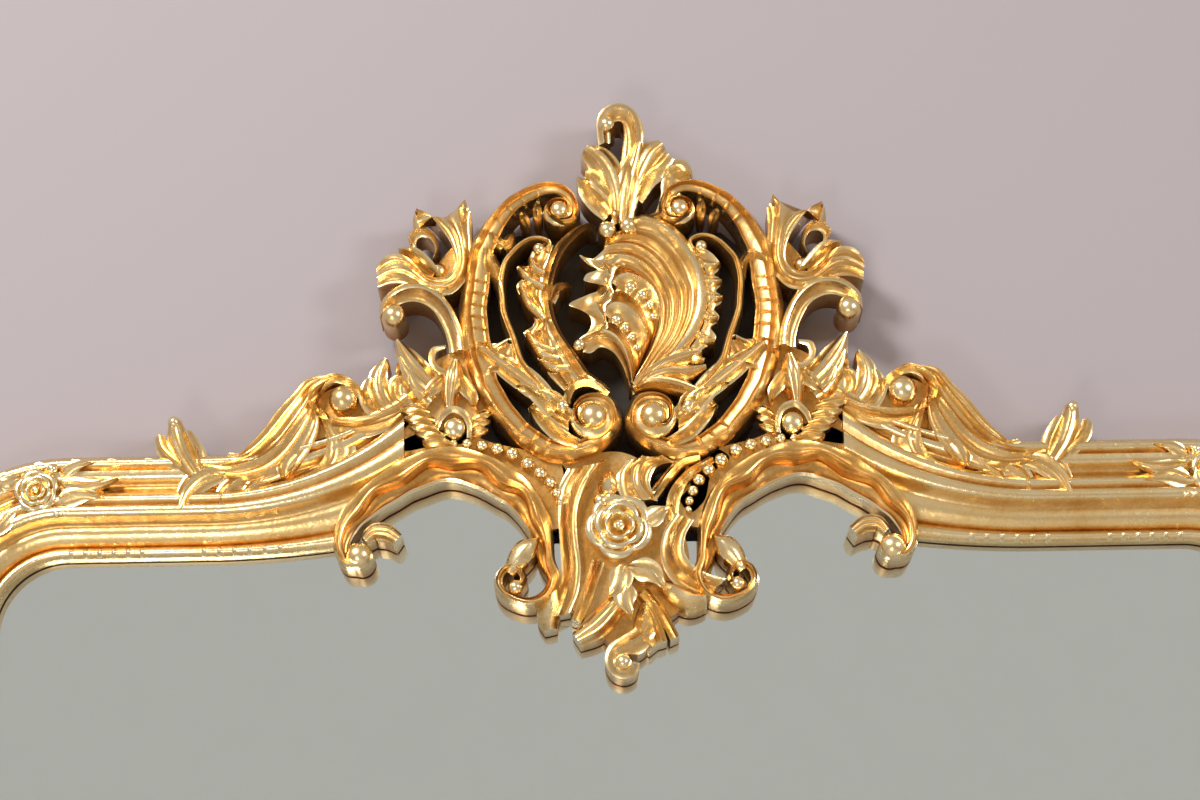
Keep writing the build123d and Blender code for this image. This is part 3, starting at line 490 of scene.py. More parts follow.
def eye(centre, angle):
    """A long eye in the ribbon: a lens with a raised rim."""
    upper = turned([(-6.5, 0), (-3, 2.2), (0, 2.8), (3, 2.2), (6.5, 0)], centre, angle)
    lower = turned([(-6.5, 0), (-3, -2.2), (0, -2.8), (3, -2.2), (6.5, 0)], centre, angle)
    lens = turned([(-5, 0), (0, 0), (5, 0)], centre, angle)
    return carve([upper, lens, lower], [[50, 50.6, 50], [50, 51.8, 50], [50, 50.6, 50]], [0.35, 0.35], 44,
                 10, 4)


def tick(centre, angle, reach, top, base, half=1.1):
    """A ridge square to the member, arched over its round."""
    ends = turned([(0, -reach), (0, 0), (0, reach)], centre, angle)
    line = along(ends, 8)
    return carve([beside(line, half), line, beside(line, -half)],
                 [[base + 1, top - 1, base + 1], [base + 1, top, base + 1], [base + 1, top - 1, base + 1]],
                 0.0, base, 8, 2)


def around_corner(width, start, pitch, count):
    """Places and angles at even steps on the upper left corner and the straight runs beside it, at a
    width."""
    radius = corner_radius + width
    quarter = radius * math.pi / 2
    found = []
    for i in range(count):
        s = start + pitch * i
        if s < 0:
            found.append(((-corner_x - s, upper_corner_z + radius), 0))
        elif s < quarter:
            a = 90 + math.degrees(s / radius)
            reach = (radius * math.cos(math.radians(a)), radius * math.sin(math.radians(a)))
            found.append(((-corner_x + reach[0], upper_corner_z + reach[1]), a - 90))
        else:
            found.append(((-corner_x - radius, upper_corner_z - (s - quarter)), 90))
    return found


eye_line = 74.8
eye_start = -66
eye_pitch = 29.2
tick_line = 4.5
tick_pitch = 11.2
corner_beads = []
for spot, angle in around_corner(eye_line, eye_start, eye_pitch, 12):
    corner_beads.append(eye(spot, angle))
for offset in (-1.8, 1.8):
    for spot, angle in around_corner(eye_line, eye_start + eye_pitch / 2 + offset, eye_pitch, 11):
        corner_beads.append(tick(spot, angle, 4.4, 51.6, 45, 0.8))
for spot, angle in around_corner(tick_line, -61, tick_pitch, 6) + around_corner(tick_line, 94, tick_pitch,
                                                                                6):
    corner_beads.append(tick(spot, angle, 4.0, 40.2, 33, 1.6))
row_beads = []
for x in np.linspace(-334, -274, 6):
    climb = float(risen(rise_radii[0], max(x + rise_start, 0)))
    row_beads.append(tick((x, sight_top + tick_line + climb), 2, 4.0, 40.2, 33, 1.6))


def lowered(shape):
    """The shape mirrored to the lower corner."""
    points, faces = shape
    return points * [1, 1, -1] + [0, 0, sight_bottom + sight_top], faces


for side, flip in sides:
    piece(side + "_top_rail_run", [top_rail] + corner_beads + row_beads, [side + "_top_rail"], gold,
          mirrored=flip,
          shade=30)
    piece(side + "_stile_run", [stile], [side + "_stile"], gold, mirrored=flip, shade=30)
low_beads = [lowered(s) for s in corner_beads]
piece("bottom_rail_run", [bottom_rail] + low_beads + [(p * [-1, 1, 1], f) for p, f in low_beads],
      ["bottom_rail"], gold,
      shade=30)


# Corner sprays: a full rose, a smaller one and their leaves, gilded like the frame.
# They are carved apart and glued over the outer ribbon at each of the four corners.
def arc(centre, radius, first, last, squash=0.0, count=7):
    """Places on a round whose radius falls by the squash towards both ends."""
    t = np.linspace(-1, 1, count)
    a = np.radians((first + last) / 2 + t * (last - first) / 2)
    r = radius * (1 - squash * t ** 2)
    return np.c_[centre[0] + r * np.cos(a), centre[1] + r * np.sin(a)]


def rose(centre, radius, top, base, start=20):
    """Three rings of cupped petals round a bud; each petal rises to its lip and curls over it."""
    made = []
    for number, reach, inner, high, wide in ((5, 1.0, 0.42, 5.0, 92), (4, 0.74, 0.28, 2.0, 108),
                                             (3, 0.47, 0.12, 0.3, 130)):
        for i in range(number):
            a = start + 360 / number * i + 31 * number
            r = radius * reach
            made.append(carve(
                [arc(centre, r * inner, a - wide / 2, a + wide / 2),
                 arc(centre, r * 0.8, a - wide / 2, a + wide / 2, 0.1),
                 arc(centre, r, a - wide / 2, a + wide / 2, 0.22)],
                [top - high - radius * 0.35, [top - high - 1.5, top - high, top - high - 1.0],
                 top - high - 1.6],
                [0.18, -0.15], base, 12, 4))
    made.append(knob(centre[0], centre[1], radius * 0.16, top - 0.5, base, 12, 5))
    return made


def leaf(stalk, tip, half, top, base, bend=0.0):
    """A pointed leaf from stalk to tip with a raised midrib and hollow halves."""
    a, b = np.array(stalk, float), np.array(tip, float)
    across = np.array([-(b - a)[1], (b - a)[0]]) * bend
    middle = [a, a + (b - a) * 0.5 + across, b]
    return frond(middle, [half * 0.25, half, half * 0.95, half * 0.45, 0.1], (0,),
                 [top - 3, top, top - 1], [top - 6, top - 2.5, top - 3], 0.16, base, 16, 4)


def spray():
    """The upper left corner's flowers."""
    big, small = (-466, 1732), (-538, 1686)
    made = rose(big, 18, 59, 44) + rose(small, 15.5, 58, 44, 55)
    for stalk, tip, half, bend in [
            ((-449, 1724), (-411, 1725), 8.5, 0.1), ((-446, 1738), (-401, 1741), 5.5, -0.1),
            ((-448, 1744), (-420, 1754), 4.5, 0.1), ((-483, 1716), (-512, 1694), 7, 0.12),
            ((-478, 1742), (-500, 1738), 6, 0.1), ((-523, 1704), (-507, 1716), 6, -0.1),
            ((-540, 1668), (-536, 1634), 8, 0.1), ((-548, 1670), (-556, 1640), 6, -0.1),
            ((-532, 1670), (-520, 1652), 5, -0.1)]:
        made.append(leaf(stalk, tip, half, 56, 44, bend))
    made.append(knob(-449, 1713, 2.8, 54, 44, 12, 5))
    made.append(knob(-443, 1713, 2.3, 53, 44, 12, 5))
    made.append(knob(-454, 1750, 4.5, 55, 44, 14, 6))
    return made


upper_spray = spray()
lower_spray = [lowered(s) for s in upper_spray]
for side, flip in sides:
    piece("upper_" + side + "_flowers", upper_spray, ["upper_" + side + "_spray"], gold, mirrored=flip)
    piece("lower_" + side + "_flowers", lower_spray, ["lower_" + side + "_spray"], gold, mirrored=flip)


# Mirror glass: a 4 mm clear sheet with round heads behind the arches.
# It lies in the rebate of the frame, and its back stands a hair clear of the silver so that both faces show.
glass_grow = 9
glass_back = 17.35
glass_front = 21.3
head_x = -145
head_z = 1670
head_radius = 62 + glass_grow
first_angle = math.degrees(math.asin((sight_top + glass_grow - head_z) / head_radius))
half_outline = np.concatenate([
    corner(corner_radius + glass_grow, (-corner_x, lower_corner_z), 270, 180, 16),
    corner(corner_radius + glass_grow, (-corner_x, upper_corner_z), 180, 90, 16),
    corner(head_radius, (head_x, head_z), 180 - first_angle, first_angle, 40)])
outline = np.r_[half_outline, half_outline[::-1] * [-1, 1]]
slab = shell(np.stack([np.c_[outline[:, 0], np.full(len(outline), d), outline[:, 1]]
                       for d in (glass_back, glass_front)]))
glass, glass_shader = plain_material("clear_glass", (0.93, 0.96, 0.945, 1), 0.0)
glass_shader.inputs["Transmission Weight"].default_value = 1.0
glass_shader.inputs["IOR"].default_value = 1.5
piece("glass_sheet", [slab], ["mirror_glass"], glass)


# Crest ground: the flat gilt wood that shows between the carvings.
# It is sawn to smooth outlines, darkened all over by painted shade as it lies deep behind the carvings, and
# carries the carvings on its face.
def ground(points, low=14, high=40):
    """A flat block with a smooth closed outline through the points."""
    line = along(list(points) + [points[0]], 8 * len(points))[:-1]
    return shell(np.stack([np.c_[line[:, 0], np.full(len(line), float(d)),
                                 line[:, 1]] for d in (low, high)]))


def reflected(points):
    """The points on the other side of the centre line."""
    return [(-x, z) for x, z in points]


wing_ground = [(-126, 1768), (-152, 1766), (-184, 1766), (-186, 1778), (-174, 1800), (-164, 1812),
               (-156, 1826), (-150, 1838),
               (-136, 1846), (-128, 1870), (-126, 1894), (-140, 1900), (-150, 1912), (-138, 1934),
               (-126, 1944), (-116, 1930),
               (-116, 1880), (-114, 1840), (-104, 1800)]
pearl_ground = [(-44, 1700), (-60, 1696), (-68, 1722), (-84, 1740), (-110, 1752), (-150, 1758), (-172, 1750),
                (-200, 1735),
                (-190, 1760), (-168, 1776), (-130, 1778), (-104, 1768), (-80, 1762), (-50, 1750)]
console_ground = [(-296, 1752), (-268, 1780), (-248, 1806), (-232, 1816), (-216, 1812), (-196, 1802),
                  (-180, 1806), (-166, 1800),
                  (-176, 1780), (-210, 1766), (-250, 1748)]
plume_ground = [(8, 1806), (24, 1818), (48, 1842), (62, 1870), (64, 1896), (54, 1926), (30, 1946), (4, 1948),
                (-10, 1940),
                (-14, 1922), (-16, 1904), (-22, 1884), (-16, 1868), (-20, 1852), (-4, 1842), (4, 1826)]
pendant_ground = [(-50, 1752), (-46, 1718), (-50, 1688), (-48, 1650), (-42, 1630), (-26, 1616), (-12, 1602),
                  (0, 1598), (12, 1602),
                  (26, 1618), (42, 1630), (48, 1650), (48, 1684), (38, 1704), (20, 1708), (12, 1722),
                  (12, 1752), (0, 1758),
                  (-24, 1758)]
grounds = [ground(plume_ground, 13.2), ground(pendant_ground, 21.6)]
for points, low in ((wing_ground, 13.2), (pearl_ground, 21.6), (console_ground, 14)):
    grounds += [ground(points, low), ground(reflected(points)[::-1], low)]
grounds += [ground([(44, 1760), (52, 1744), (52, 1730), (44, 1718), (52, 1708), (62, 1716), (70, 1740),
                    (84, 1752), (60, 1764)], 21.6)]
# A shade depth of 60 lies in front of the whole ground, so the ground takes painted shade all over.
piece("crest_ground", grounds, ["crest_blank"], gold, shade=60)


# Arch scrolls: each is a C over the mirror with a hook and ball outside, a volute inside,
# a wavy ridge and a hollow channel between its rims, and a row of pearls above it; carved with the crest.
arch_rim = along([(-210, 1667), (-221, 1668), (-227, 1677), (-228, 1690), (-226, 1700), (-222, 1710),
                  (-214, 1721),
                  (-204, 1731), (-192, 1740), (-181, 1748), (-168, 1754), (-155, 1759), (-142, 1761),
                  (-129, 1760),
                  (-116, 1756), (-104, 1751), (-91, 1743), (-79, 1734), (-70, 1722), (-64, 1710),
                  (-60, 1697),
                  (-59, 1682), (-58, 1669), (-54, 1655), (-60, 1641), (-68, 1635), (-78, 1633), (-89, 1636),
                  (-98, 1642), (-102, 1650), (-99, 1660), (-91, 1665), (-83, 1661), (-80, 1653),
                  (-84, 1647)], 150)
inner_width = [5, 9, 15, 20, 23, 25, 26, 26, 26, 26, 25, 22, 18, 12, 8, 7, 6, 5, 4, 3]
wave_share = 0.42 + 0.10 * np.sin(np.linspace(0, 17 * np.pi, 150))
wide = eased(inner_width, 150)
wave = np.minimum(wide * wave_share, wide - 1)
arch = [carve([beside(arch_rim, 2.2), arch_rim, beside(arch_rim, -wave),
               beside(arch_rim, -wave - 0.12 * wide),
               beside(arch_rim, -wide * 0.86), beside(arch_rim, -wide * 0.9), beside(arch_rim, -wide)],
              [[52, 50, 48, 48, 48, 50], 57, [52, 54, 55, 55, 55, 55, 54, 54, 54, 53],
               [50, 46, 44, 43, 43, 43, 44, 46, 50, 52],
               [50, 46, 44, 43, 43, 43, 44, 46, 50, 52], [50, 48, 47, 47, 47, 47, 48, 49, 50, 52],
               [48, 47, 46, 46, 46, 48, 50]],
              [-0.1, [0.2, 0.5, 0.5, 0.5, 0.5, 0.3], 0.0, 0.15, 0.0, 0.0], 21.6, 150, 5),
        knob(-210, 1675, 11, 59, 21.6, 28, 10), knob(-87, 1647, 6, 57, 21.6),
        frond([(-206, 1688), (-199, 1694), (-190, 1694), (-179, 1687)], [4, 7, 7, 5], (-0.5, 0, 0.5),
              [50, 54, 56],
              [46, 49, 51], 0.3, 21.6),
        frond([(-92, 1658), (-86, 1668), (-78, 1678), (-68, 1686)], [4, 8, 8, 0.5], (0,), [54, 58, 57],
              [50, 53, 52],
              -0.1, 21.6)]
pearl_places = [(-152, 1767), (-145, 1767), (-136, 1766), (-125, 1766), (-113, 1764), (-101, 1761),
                (-89, 1757),
                (-77, 1749), (-67, 1741), (-59, 1733), (-54, 1724), (-51, 1716), (-50, 1709)]
pearl_sizes = [2.2, 3.0, 3.8, 4.2, 4.9, 5.4, 5.6, 5.5, 5.2, 4.8, 4.3, 3.6, 2.8]
arch_pearls = [knob(x, z, r, 46 + r, 36, 14, 7) for (x, z), r in zip(pearl_places, pearl_sizes)]
for side, flip in sides:
    piece(side + "_arch", arch, [side + "_arch_scroll"], gold, mirrored=flip)
    piece(side + "_pearl_row", arch_pearls, [side + "_arch_pearls"], gold, mirrored=flip)


# Console scrolls: at each end of the crest a ball in a ring, with flutes streaming down to the rail,
# a standing end leaf and three flame leaves above; carved with the crest.
console = [
    knob(-224, 1804, 11.5, 59, 14, 28, 10),
    carve([[(-207, 1800), (-210, 1813), (-219, 1820), (-230, 1824), (-242, 1819), (-250, 1811), (-251, 1800),
            (-245, 1790),
            (-228, 1783), (-210, 1783), (-195, 1788), (-181, 1794), (-170, 1803)],
           [(-208, 1797), (-213, 1807), (-221, 1815), (-231, 1818), (-240, 1813), (-245, 1806), (-244, 1798),
            (-238, 1790),
            (-226, 1786), (-210, 1787), (-196, 1794), (-184, 1801), (-174, 1808)]],
          [[50, 56, 57, 56, 55, 54], [46, 49, 50, 49, 50, 50]], 0.2, 14, 90, 5),
    carve([[(-230, 1824), (-252, 1820), (-263, 1807), (-274, 1795), (-285, 1780), (-296, 1768), (-307, 1760),
            (-314, 1761)],
           [(-233, 1822), (-250, 1815), (-259, 1802), (-268, 1789), (-279, 1774), (-291, 1762), (-304, 1755),
            (-322, 1753)],
           [(-236, 1819), (-248, 1806), (-255, 1793), (-264, 1779), (-275, 1765), (-289, 1755), (-306, 1749),
            (-338, 1752)],
           [(-242, 1812), (-247, 1797), (-251, 1785), (-258, 1771), (-268, 1757), (-281, 1746), (-298, 1741),
            (-330, 1744)],
           [(-245, 1805), (-243, 1791), (-243, 1779), (-248, 1764), (-258, 1750), (-270, 1740), (-288, 1735),
            (-318, 1737)]],
          [[52, 56, 55, 50], [54, 57, 56, 51], [54, 57, 56, 52], [53, 55, 54, 51], [51, 52, 51, 48]],
          [0.3, 0.35, 0.35, 0.3], 14, 70, 5),
    carve([[(-245, 1800), (-240, 1785), (-236, 1770), (-238, 1756), (-246, 1745), (-262, 1738),
            (-290, 1734)],
           [(-240, 1795), (-232, 1781), (-226, 1768), (-227, 1755), (-234, 1745), (-250, 1737),
            (-276, 1731)],
           [(-232, 1790), (-222, 1778), (-214, 1766), (-213, 1755), (-219, 1746), (-232, 1740),
            (-252, 1735)]],
          [[52, 53, 51, 48], [51, 50, 48, 46], [48, 46, 44, 43]], [0.3, 0.2], 14, 50, 5),
    carve([[(-170, 1803), (-190, 1792), (-212, 1788), (-232, 1789)],
           [(-168, 1797), (-188, 1784), (-211, 1779), (-233, 1781)],
           [(-172, 1790), (-190, 1777), (-210, 1771), (-230, 1772)]],
          [[52, 54, 53, 50], [53, 55, 54, 50], [46, 48, 48, 46]],
          0.3, 14, 40, 5),
    frond([(-190, 1790), (-200, 1800), (-204, 1810), (-202, 1821)], [7, 9, 8, 3], (0,), [50, 54, 53],
          [46, 48, 49], 0.25),
    frond([(-184, 1792), (-194, 1806), (-196, 1822), (-190, 1837)], [8, 11, 8, 2.5], (-0.4, 0.3),
          [50, 53, 53], [46, 48, 49],
          0.25),
    frond([(-172, 1796), (-182, 1806), (-182, 1816), (-174, 1824)], [6, 8, 7, 2], (0,), [50, 53, 52],
          [46, 48, 48], 0.25),
    frond([(-340, 1744), (-349, 1758), (-355, 1774), (-358, 1788)], [8, 10, 9, 5], (-0.4, 0.4),
          [52, 56, 57, 55], [48, 50, 50], 0.25),
    knob(-358, 1786, 5, 58, 14),
    frond([(-344, 1746), (-358, 1756), (-367, 1766), (-370, 1776)], [6, 7, 6, 4], (0,), [51, 54, 54],
          [47, 49, 49], 0.2),
    frond([(-336, 1748), (-339, 1760), (-344, 1770), (-349, 1779)], [6, 7, 6, 4], (0,), [51, 54, 54],
          [47, 49, 49], 0.2),
    frond([(-318, 1748), (-334, 1742), (-346, 1730), (-352, 1716)], [9, 11, 9, 3], (-0.4, 0.4), [50, 54, 53],
          [47, 49, 49], 0.25),
    frond([(-298, 1744), (-309, 1737), (-318, 1728), (-321, 1718)], [8, 9, 7, 3], (0,), [50, 53, 52],
          [47, 48, 48], 0.25),
    frond([(-282, 1745), (-290, 1738), (-298, 1731), (-302, 1725)], [7, 8, 6, 2], (0,), [50, 52, 51],
          [46, 48, 48], 0.25),
    frond([(-260, 1764), (-267, 1756), (-271, 1747), (-271, 1739)], [4, 7, 6, 1], (0,), [52, 56, 55],
          [49, 52, 52], 0.2)]
for side, flip in sides:
    piece(side + "_console", console, [side + "_console_scroll"], gold, mirrored=flip)


# Wings: fluted lobes with cut ends that sweep round a hollow, two spikes above and a ball scroll below.
# One stands out past each C scroll; gilded wood, carved in one piece with the crest.
wing = [
    carve([[(-198, 1913), (-195, 1920), (-188, 1925), (-178, 1925), (-168, 1918), (-160, 1909), (-150, 1904),
            (-140, 1906),
            (-134, 1915), (-136, 1930), (-146, 1948), (-158, 1962), (-166, 1966)],
           [(-198, 1910), (-191, 1914), (-182, 1917), (-172, 1914), (-164, 1907), (-155, 1900), (-145, 1898),
            (-135, 1902),
            (-130, 1914), (-131, 1932), (-138, 1950), (-150, 1958), (-164, 1949)],
           [(-197, 1904), (-189, 1908), (-179, 1909), (-170, 1905), (-161, 1899), (-151, 1895), (-141, 1895),
            (-131, 1902),
            (-126, 1915), (-127, 1935), (-130, 1952), (-131, 1965), (-126, 1973)],
           [(-197, 1898), (-188, 1901), (-177, 1901), (-167, 1898), (-158, 1893), (-148, 1890), (-137, 1891),
            (-127, 1900),
            (-121, 1913), (-120, 1930), (-121, 1945), (-121, 1955), (-121, 1962)]],
          [[50, 54, 55, 54, 52, 50], [51, 55, 56, 56, 54, 48], [51, 55, 56, 56, 54, 50],
           [48, 50, 51, 51, 50, 46]],
          0.3, 14, 80, 5),
    frond([(-150, 1910), (-160, 1920), (-170, 1929), (-180, 1931)], [4, 6, 5, 1], (0.3,), [50, 53, 52],
          [46, 48, 48], 0.2),
    carve([[(-171, 1936), (-172, 1942), (-167, 1947), (-158, 1948), (-150, 1942), (-147, 1932),
            (-150, 1924)],
           [(-166, 1934), (-166, 1939), (-163, 1942), (-157, 1942), (-152, 1937), (-151, 1930),
            (-153, 1925)]],
          [[46, 51, 52, 50, 47], [42, 45, 45, 44, 42]], 0.2, 14, 40, 5),
    knob(-148, 1915, 7, 45, 14),
    frond([(-160, 1945), (-164, 1952), (-166, 1959), (-167, 1966)], [6, 5, 3, 0.3], (0,), [48, 50, 48],
          [42, 43, 44], 0.2),
    frond([(-129, 1952), (-128, 1959), (-127, 1966), (-126, 1974)], [6, 5, 3, 0.3], (0,), [48, 50, 48],
          [42, 43, 44], 0.2),
    frond([(-143, 1948), (-141, 1953), (-140, 1958)], [5, 5, 3], (0,), [44, 45, 44], [40, 41, 41], 0.2),
    knob(-184, 1874, 10, 58, 14, 28, 10),
    carve([[(-195, 1872), (-194, 1884), (-186, 1894), (-176, 1899), (-164, 1900), (-152, 1896), (-141, 1886),
            (-133, 1872),
            (-128, 1858), (-126, 1843)],
           [(-192, 1876), (-190, 1884), (-182, 1890), (-172, 1894), (-161, 1894), (-151, 1889), (-142, 1880),
            (-136, 1868),
            (-132, 1855), (-131, 1843)],
           [(-186, 1878), (-181, 1882), (-175, 1885), (-168, 1886), (-160, 1884), (-152, 1878), (-147, 1870),
            (-143, 1861),
            (-140, 1850), (-139, 1842)]],
          [[50, 53, 54, 53, 52, 50], [54, 57, 57, 56, 55, 53], [50, 49, 48, 48, 48, 48]], [-0.1, 0.3], 14,
          60, 5),
    carve([[(-143, 1846), (-149, 1842), (-150, 1834), (-145, 1828), (-138, 1827), (-132, 1831)],
           [(-142, 1849), (-153, 1845), (-155, 1834), (-149, 1824), (-138, 1821), (-128, 1828)]],
          [[46, 50, 52, 52, 50], [46, 53, 55, 55, 50]], 0.1, 14, 30, 4)]
for side, flip in sides:
    piece(side + "_wing", wing, [side + "_wing_leaf"], gold, mirrored=flip)


# Hanging acanthus: a bright leaf falls from the wing over a smooth dome shell, with stacked small lobes
# beside it.
# Gilded wood, carved with the crest; the lobes hide the end of the rail.
acanthus = [
    frond([(-134, 1835), (-136, 1822), (-138, 1808), (-139, 1795)], [4, 9, 8, 4], (-0.5, 0, 0.5),
          [54, 58, 56, 52],
          [48, 50, 49, 46], 0.25),
    frond([(-140, 1822), (-148, 1815), (-155, 1808), (-160, 1803)], [4, 6, 5, 0.5], (0,), [54, 56, 54],
          [49, 51, 51], 0.2),
    frond([(-132, 1822), (-126, 1812), (-120, 1803), (-118, 1795)], [4, 6, 5, 1], (0,), [54, 56, 54],
          [49, 51, 51], 0.2),
    carve([[(-158, 1768), (-151, 1778), (-147, 1788), (-137, 1796), (-126, 1792), (-121, 1781),
            (-121, 1770)],
           [(-153, 1768), (-148, 1776), (-144, 1785), (-137, 1791), (-129, 1788), (-125, 1780),
            (-125, 1770)]],
          [52, 49], 0.1, 36, 40, 4),
    knob(-135, 1779, 9.5, 53, 36, 24, 9, 0.8)]
for x, z in [(-178, 1793), (-174, 1786), (-171, 1779), (-166, 1773), (-160, 1766)]:
    acanthus.append(frond([(x + 24, z - 2), (x + 14, z), (x, z + 1)], [2, 4, 4.5, 1], (0,), [54, 58, 56],
                          [50, 53, 53], 0.2,
                          36, 20))
for x, z in [(-104, 1790), (-106, 1783), (-108, 1776)]:
    acanthus.append(frond([(x - 16, z - 4), (x - 8, z), (x, z + 1)], [2, 3.5, 3.5, 1], (0,), [48, 52, 50],
                          [44, 47, 47], 0.2,
                          36, 20))
for line, widths in [([(-150, 1812), (-164, 1826), (-174, 1840), (-181, 1853)], [8, 11, 9, 2]),
                     ([(-152, 1806), (-165, 1815), (-174, 1826), (-179, 1838)], [8, 11, 9, 2]),
                     ([(-154, 1800), (-162, 1806), (-168, 1815), (-171, 1824)], [7, 9, 7, 2])]:
    acanthus.append(frond(line, widths, (-0.4, 0.4), [50, 53, 52], [46, 47, 47], 0.25))
for side, flip in sides:
    piece(side + "_hanging_leaf", acanthus, [side + "_acanthus"], gold, mirrored=flip)


# C scrolls: the two great scrolls back to back, with a sharp bright rim, a hollow channel with small bars
# across it,
# a smooth outer wall, and ball eyes on filled mounds in both volutes.
c_rim = along([(-46, 1957), (-42, 1963), (-44, 1968), (-52, 1970), (-58, 1966), (-58, 1959), (-53, 1954),
               (-45, 1951),
               (-37, 1954), (-34, 1961), (-36, 1970), (-41, 1978), (-50, 1983), (-60, 1984), (-72, 1981),
               (-82, 1976),
               (-90, 1971), (-98, 1963), (-106, 1953), (-112, 1942), (-118, 1930), (-120, 1920),
               (-122, 1910),
               (-123, 1899), (-125, 1887), (-126, 1876), (-125, 1865), (-124, 1855), (-122, 1845),
               (-120, 1834),
               (-117, 1825), (-113, 1813), (-107, 1803), (-101, 1793), (-93, 1783), (-83, 1772), (-73, 1765),
               (-63, 1759), (-52, 1756), (-41, 1756), (-31, 1759), (-22, 1763), (-14, 1768), (-8, 1774),
               (-5, 1781),
               (-6, 1790), (-9, 1797), (-16, 1802), (-24, 1803), (-32, 1801), (-38, 1795), (-39, 1788),
               (-37, 1781),
               (-32, 1777), (-26, 1778)], 260)
inside = [1, 2, 2.5, 4, 5, 6, 8, 11, 13, 14.5, 15, 15.5, 15, 13, 11, 9, 8, 7, 7, 6, 5, 4, 2.5, 1]
outside = [-0.8, -1, -1.5, -2, -2, -2, -2.5, -4, -5, -5, -5.5, -5.5, -5.5, -6, -6, -6, -6, -6, -6, -5, -3.5,
           -2.5, -1.5, -0.8]
inside = np.maximum(np.array(inside) * 1.12, [1, 2, 3, 5, 7, 9, 10, 12, 13, 14, 15, 15, 15, 14, 13, 12, 11,
                                              10, 9, 8, 7, 5, 3, 1])
channel = [54, 54, 52, 50, 48, 48, 48, 48, 48, 48, 48, 49, 52, 54]
c_scroll = [carve([beside(c_rim, outside), c_rim, beside(c_rim, inside * 0.24), beside(c_rim, inside * 0.82),
                   beside(c_rim, inside)],
                  [[52, 53, 52, 50, 48, 47, 46, 46, 46, 46, 46, 46, 46, 46, 47, 50, 52, 53], 58, channel,
                   [d - 2 for d in channel], [d + 1 for d in channel]], [-0.14, 0.1, 0.05, 0.0], 12, 260, 6),
            knob(-49, 1961.5, 13, 52, 13, 26, 6, 0.35), knob(-49, 1961.5, 7.5, 59, 20, 26, 9, 0.8),
            knob(-24, 1786, 19, 52, 14, 30, 6, 0.3), knob(-24, 1786, 11, 59, 20, 30, 9, 0.8)]
for x, z, turn in [(-115, 1903, 88), (-115.5, 1893, 90), (-116.5, 1883, 90), (-116.5, 1873, 90),
                   (-115, 1863, 92), (-112, 1850, 95), (-66, 1975, 10), (-78, 1971, 30), (-88, 1964, 40),
                   (-97, 1955, 50), (-80, 1779, 130), (-70, 1771, 140), (-60, 1766, 155)]:
    line = turned([(0, -6), (0, 0), (0, 6)], (x, z), turn)
    c_scroll.append(frond(line, [1.6, 2.0, 1.6], (0,), [48, 51.5, 50], [45, 46, 45], 0, 36, 10, 3))
for side, flip in sides:
    piece(side + "_scroll", c_scroll, [side + "_c_scroll"], gold, mirrored=flip)


# Stems: a double-ridged stem climbs inside each C scroll, with small hanging leaves and a ball.
# The left one has a long bud, the right one an arched leaf; both are gilded wood, carved with the crest.
stem_line = along([(-60, 1805), (-72, 1820), (-82, 1834), (-85, 1844), (-88, 1854), (-92, 1865), (-95, 1875),
                   (-96, 1886),
                   (-97, 1897), (-96, 1907), (-93, 1918), (-87, 1926), (-81, 1932), (-72, 1937), (-63, 1937),
                   (-57, 1933),
                   (-59, 1926)], 90)
stem_half = np.array([4, 4, 3.8, 3.6, 3.4, 3.4, 3.2, 3, 2.6, 2])
stem = [carve([beside(stem_line, stem_half), beside(stem_line, stem_half * 0.55),
               beside(stem_line, -stem_half * 0.55),
               beside(stem_line, -stem_half)], [46, 53, 53, 46], [-0.1, 0.5, -0.1], 12, 90, 4),
        knob(-66, 1929, 5, 54, 12)]
bud = [frond([(-107, 1932), (-106, 1922), (-102, 1911), (-98, 1900), (-95, 1885), (-93, 1868), (-90, 1852)],
             [2, 6.5, 5, 3.2, 2.2, 2, 1.8], (0,), [52, 55, 53, 51, 50], 45, -0.12, 12, 50),
       frond([(-95, 1931), (-99, 1937), (-104, 1945)], [2.5, 4.5, 4, 1], (0,), [50, 53, 51], 46, 0.15, 12,
             20),
       frond([(-95, 1931), (-91, 1937), (-86, 1944)], [2.5, 4.5, 4, 1], (0,), [50, 53, 51], 46, 0.15, 12,
             20)]
stem_leaves = [frond([(-67, 1971), (-67, 1962), (-66, 1950)], [2, 4, 3, 0.5], (0,), [50, 52, 50], 46, 0.15,
                     12, 20),
               frond([(-80, 1962), (-77, 1955), (-74, 1947)], [2, 4, 3, 0.5], (0,), [50, 52, 50], 46, 0.15,
                     12, 20)]
arched_leaf = [frond([(99, 1900), (101, 1917), (109, 1923), (118, 1917), (120, 1905)], [2, 4, 4.5, 4, 1],
                     (0,), [50, 54, 51], 46,
                     0.15, 12, 30)]
piece("left_stem_run", stem + bud + stem_leaves, ["left_stem"], gold)
piece("right_stem_run", [(p * [-1, 1, 1], f) for p, f in stem + stem_leaves] + arched_leaf, ["right_stem"],
      gold)


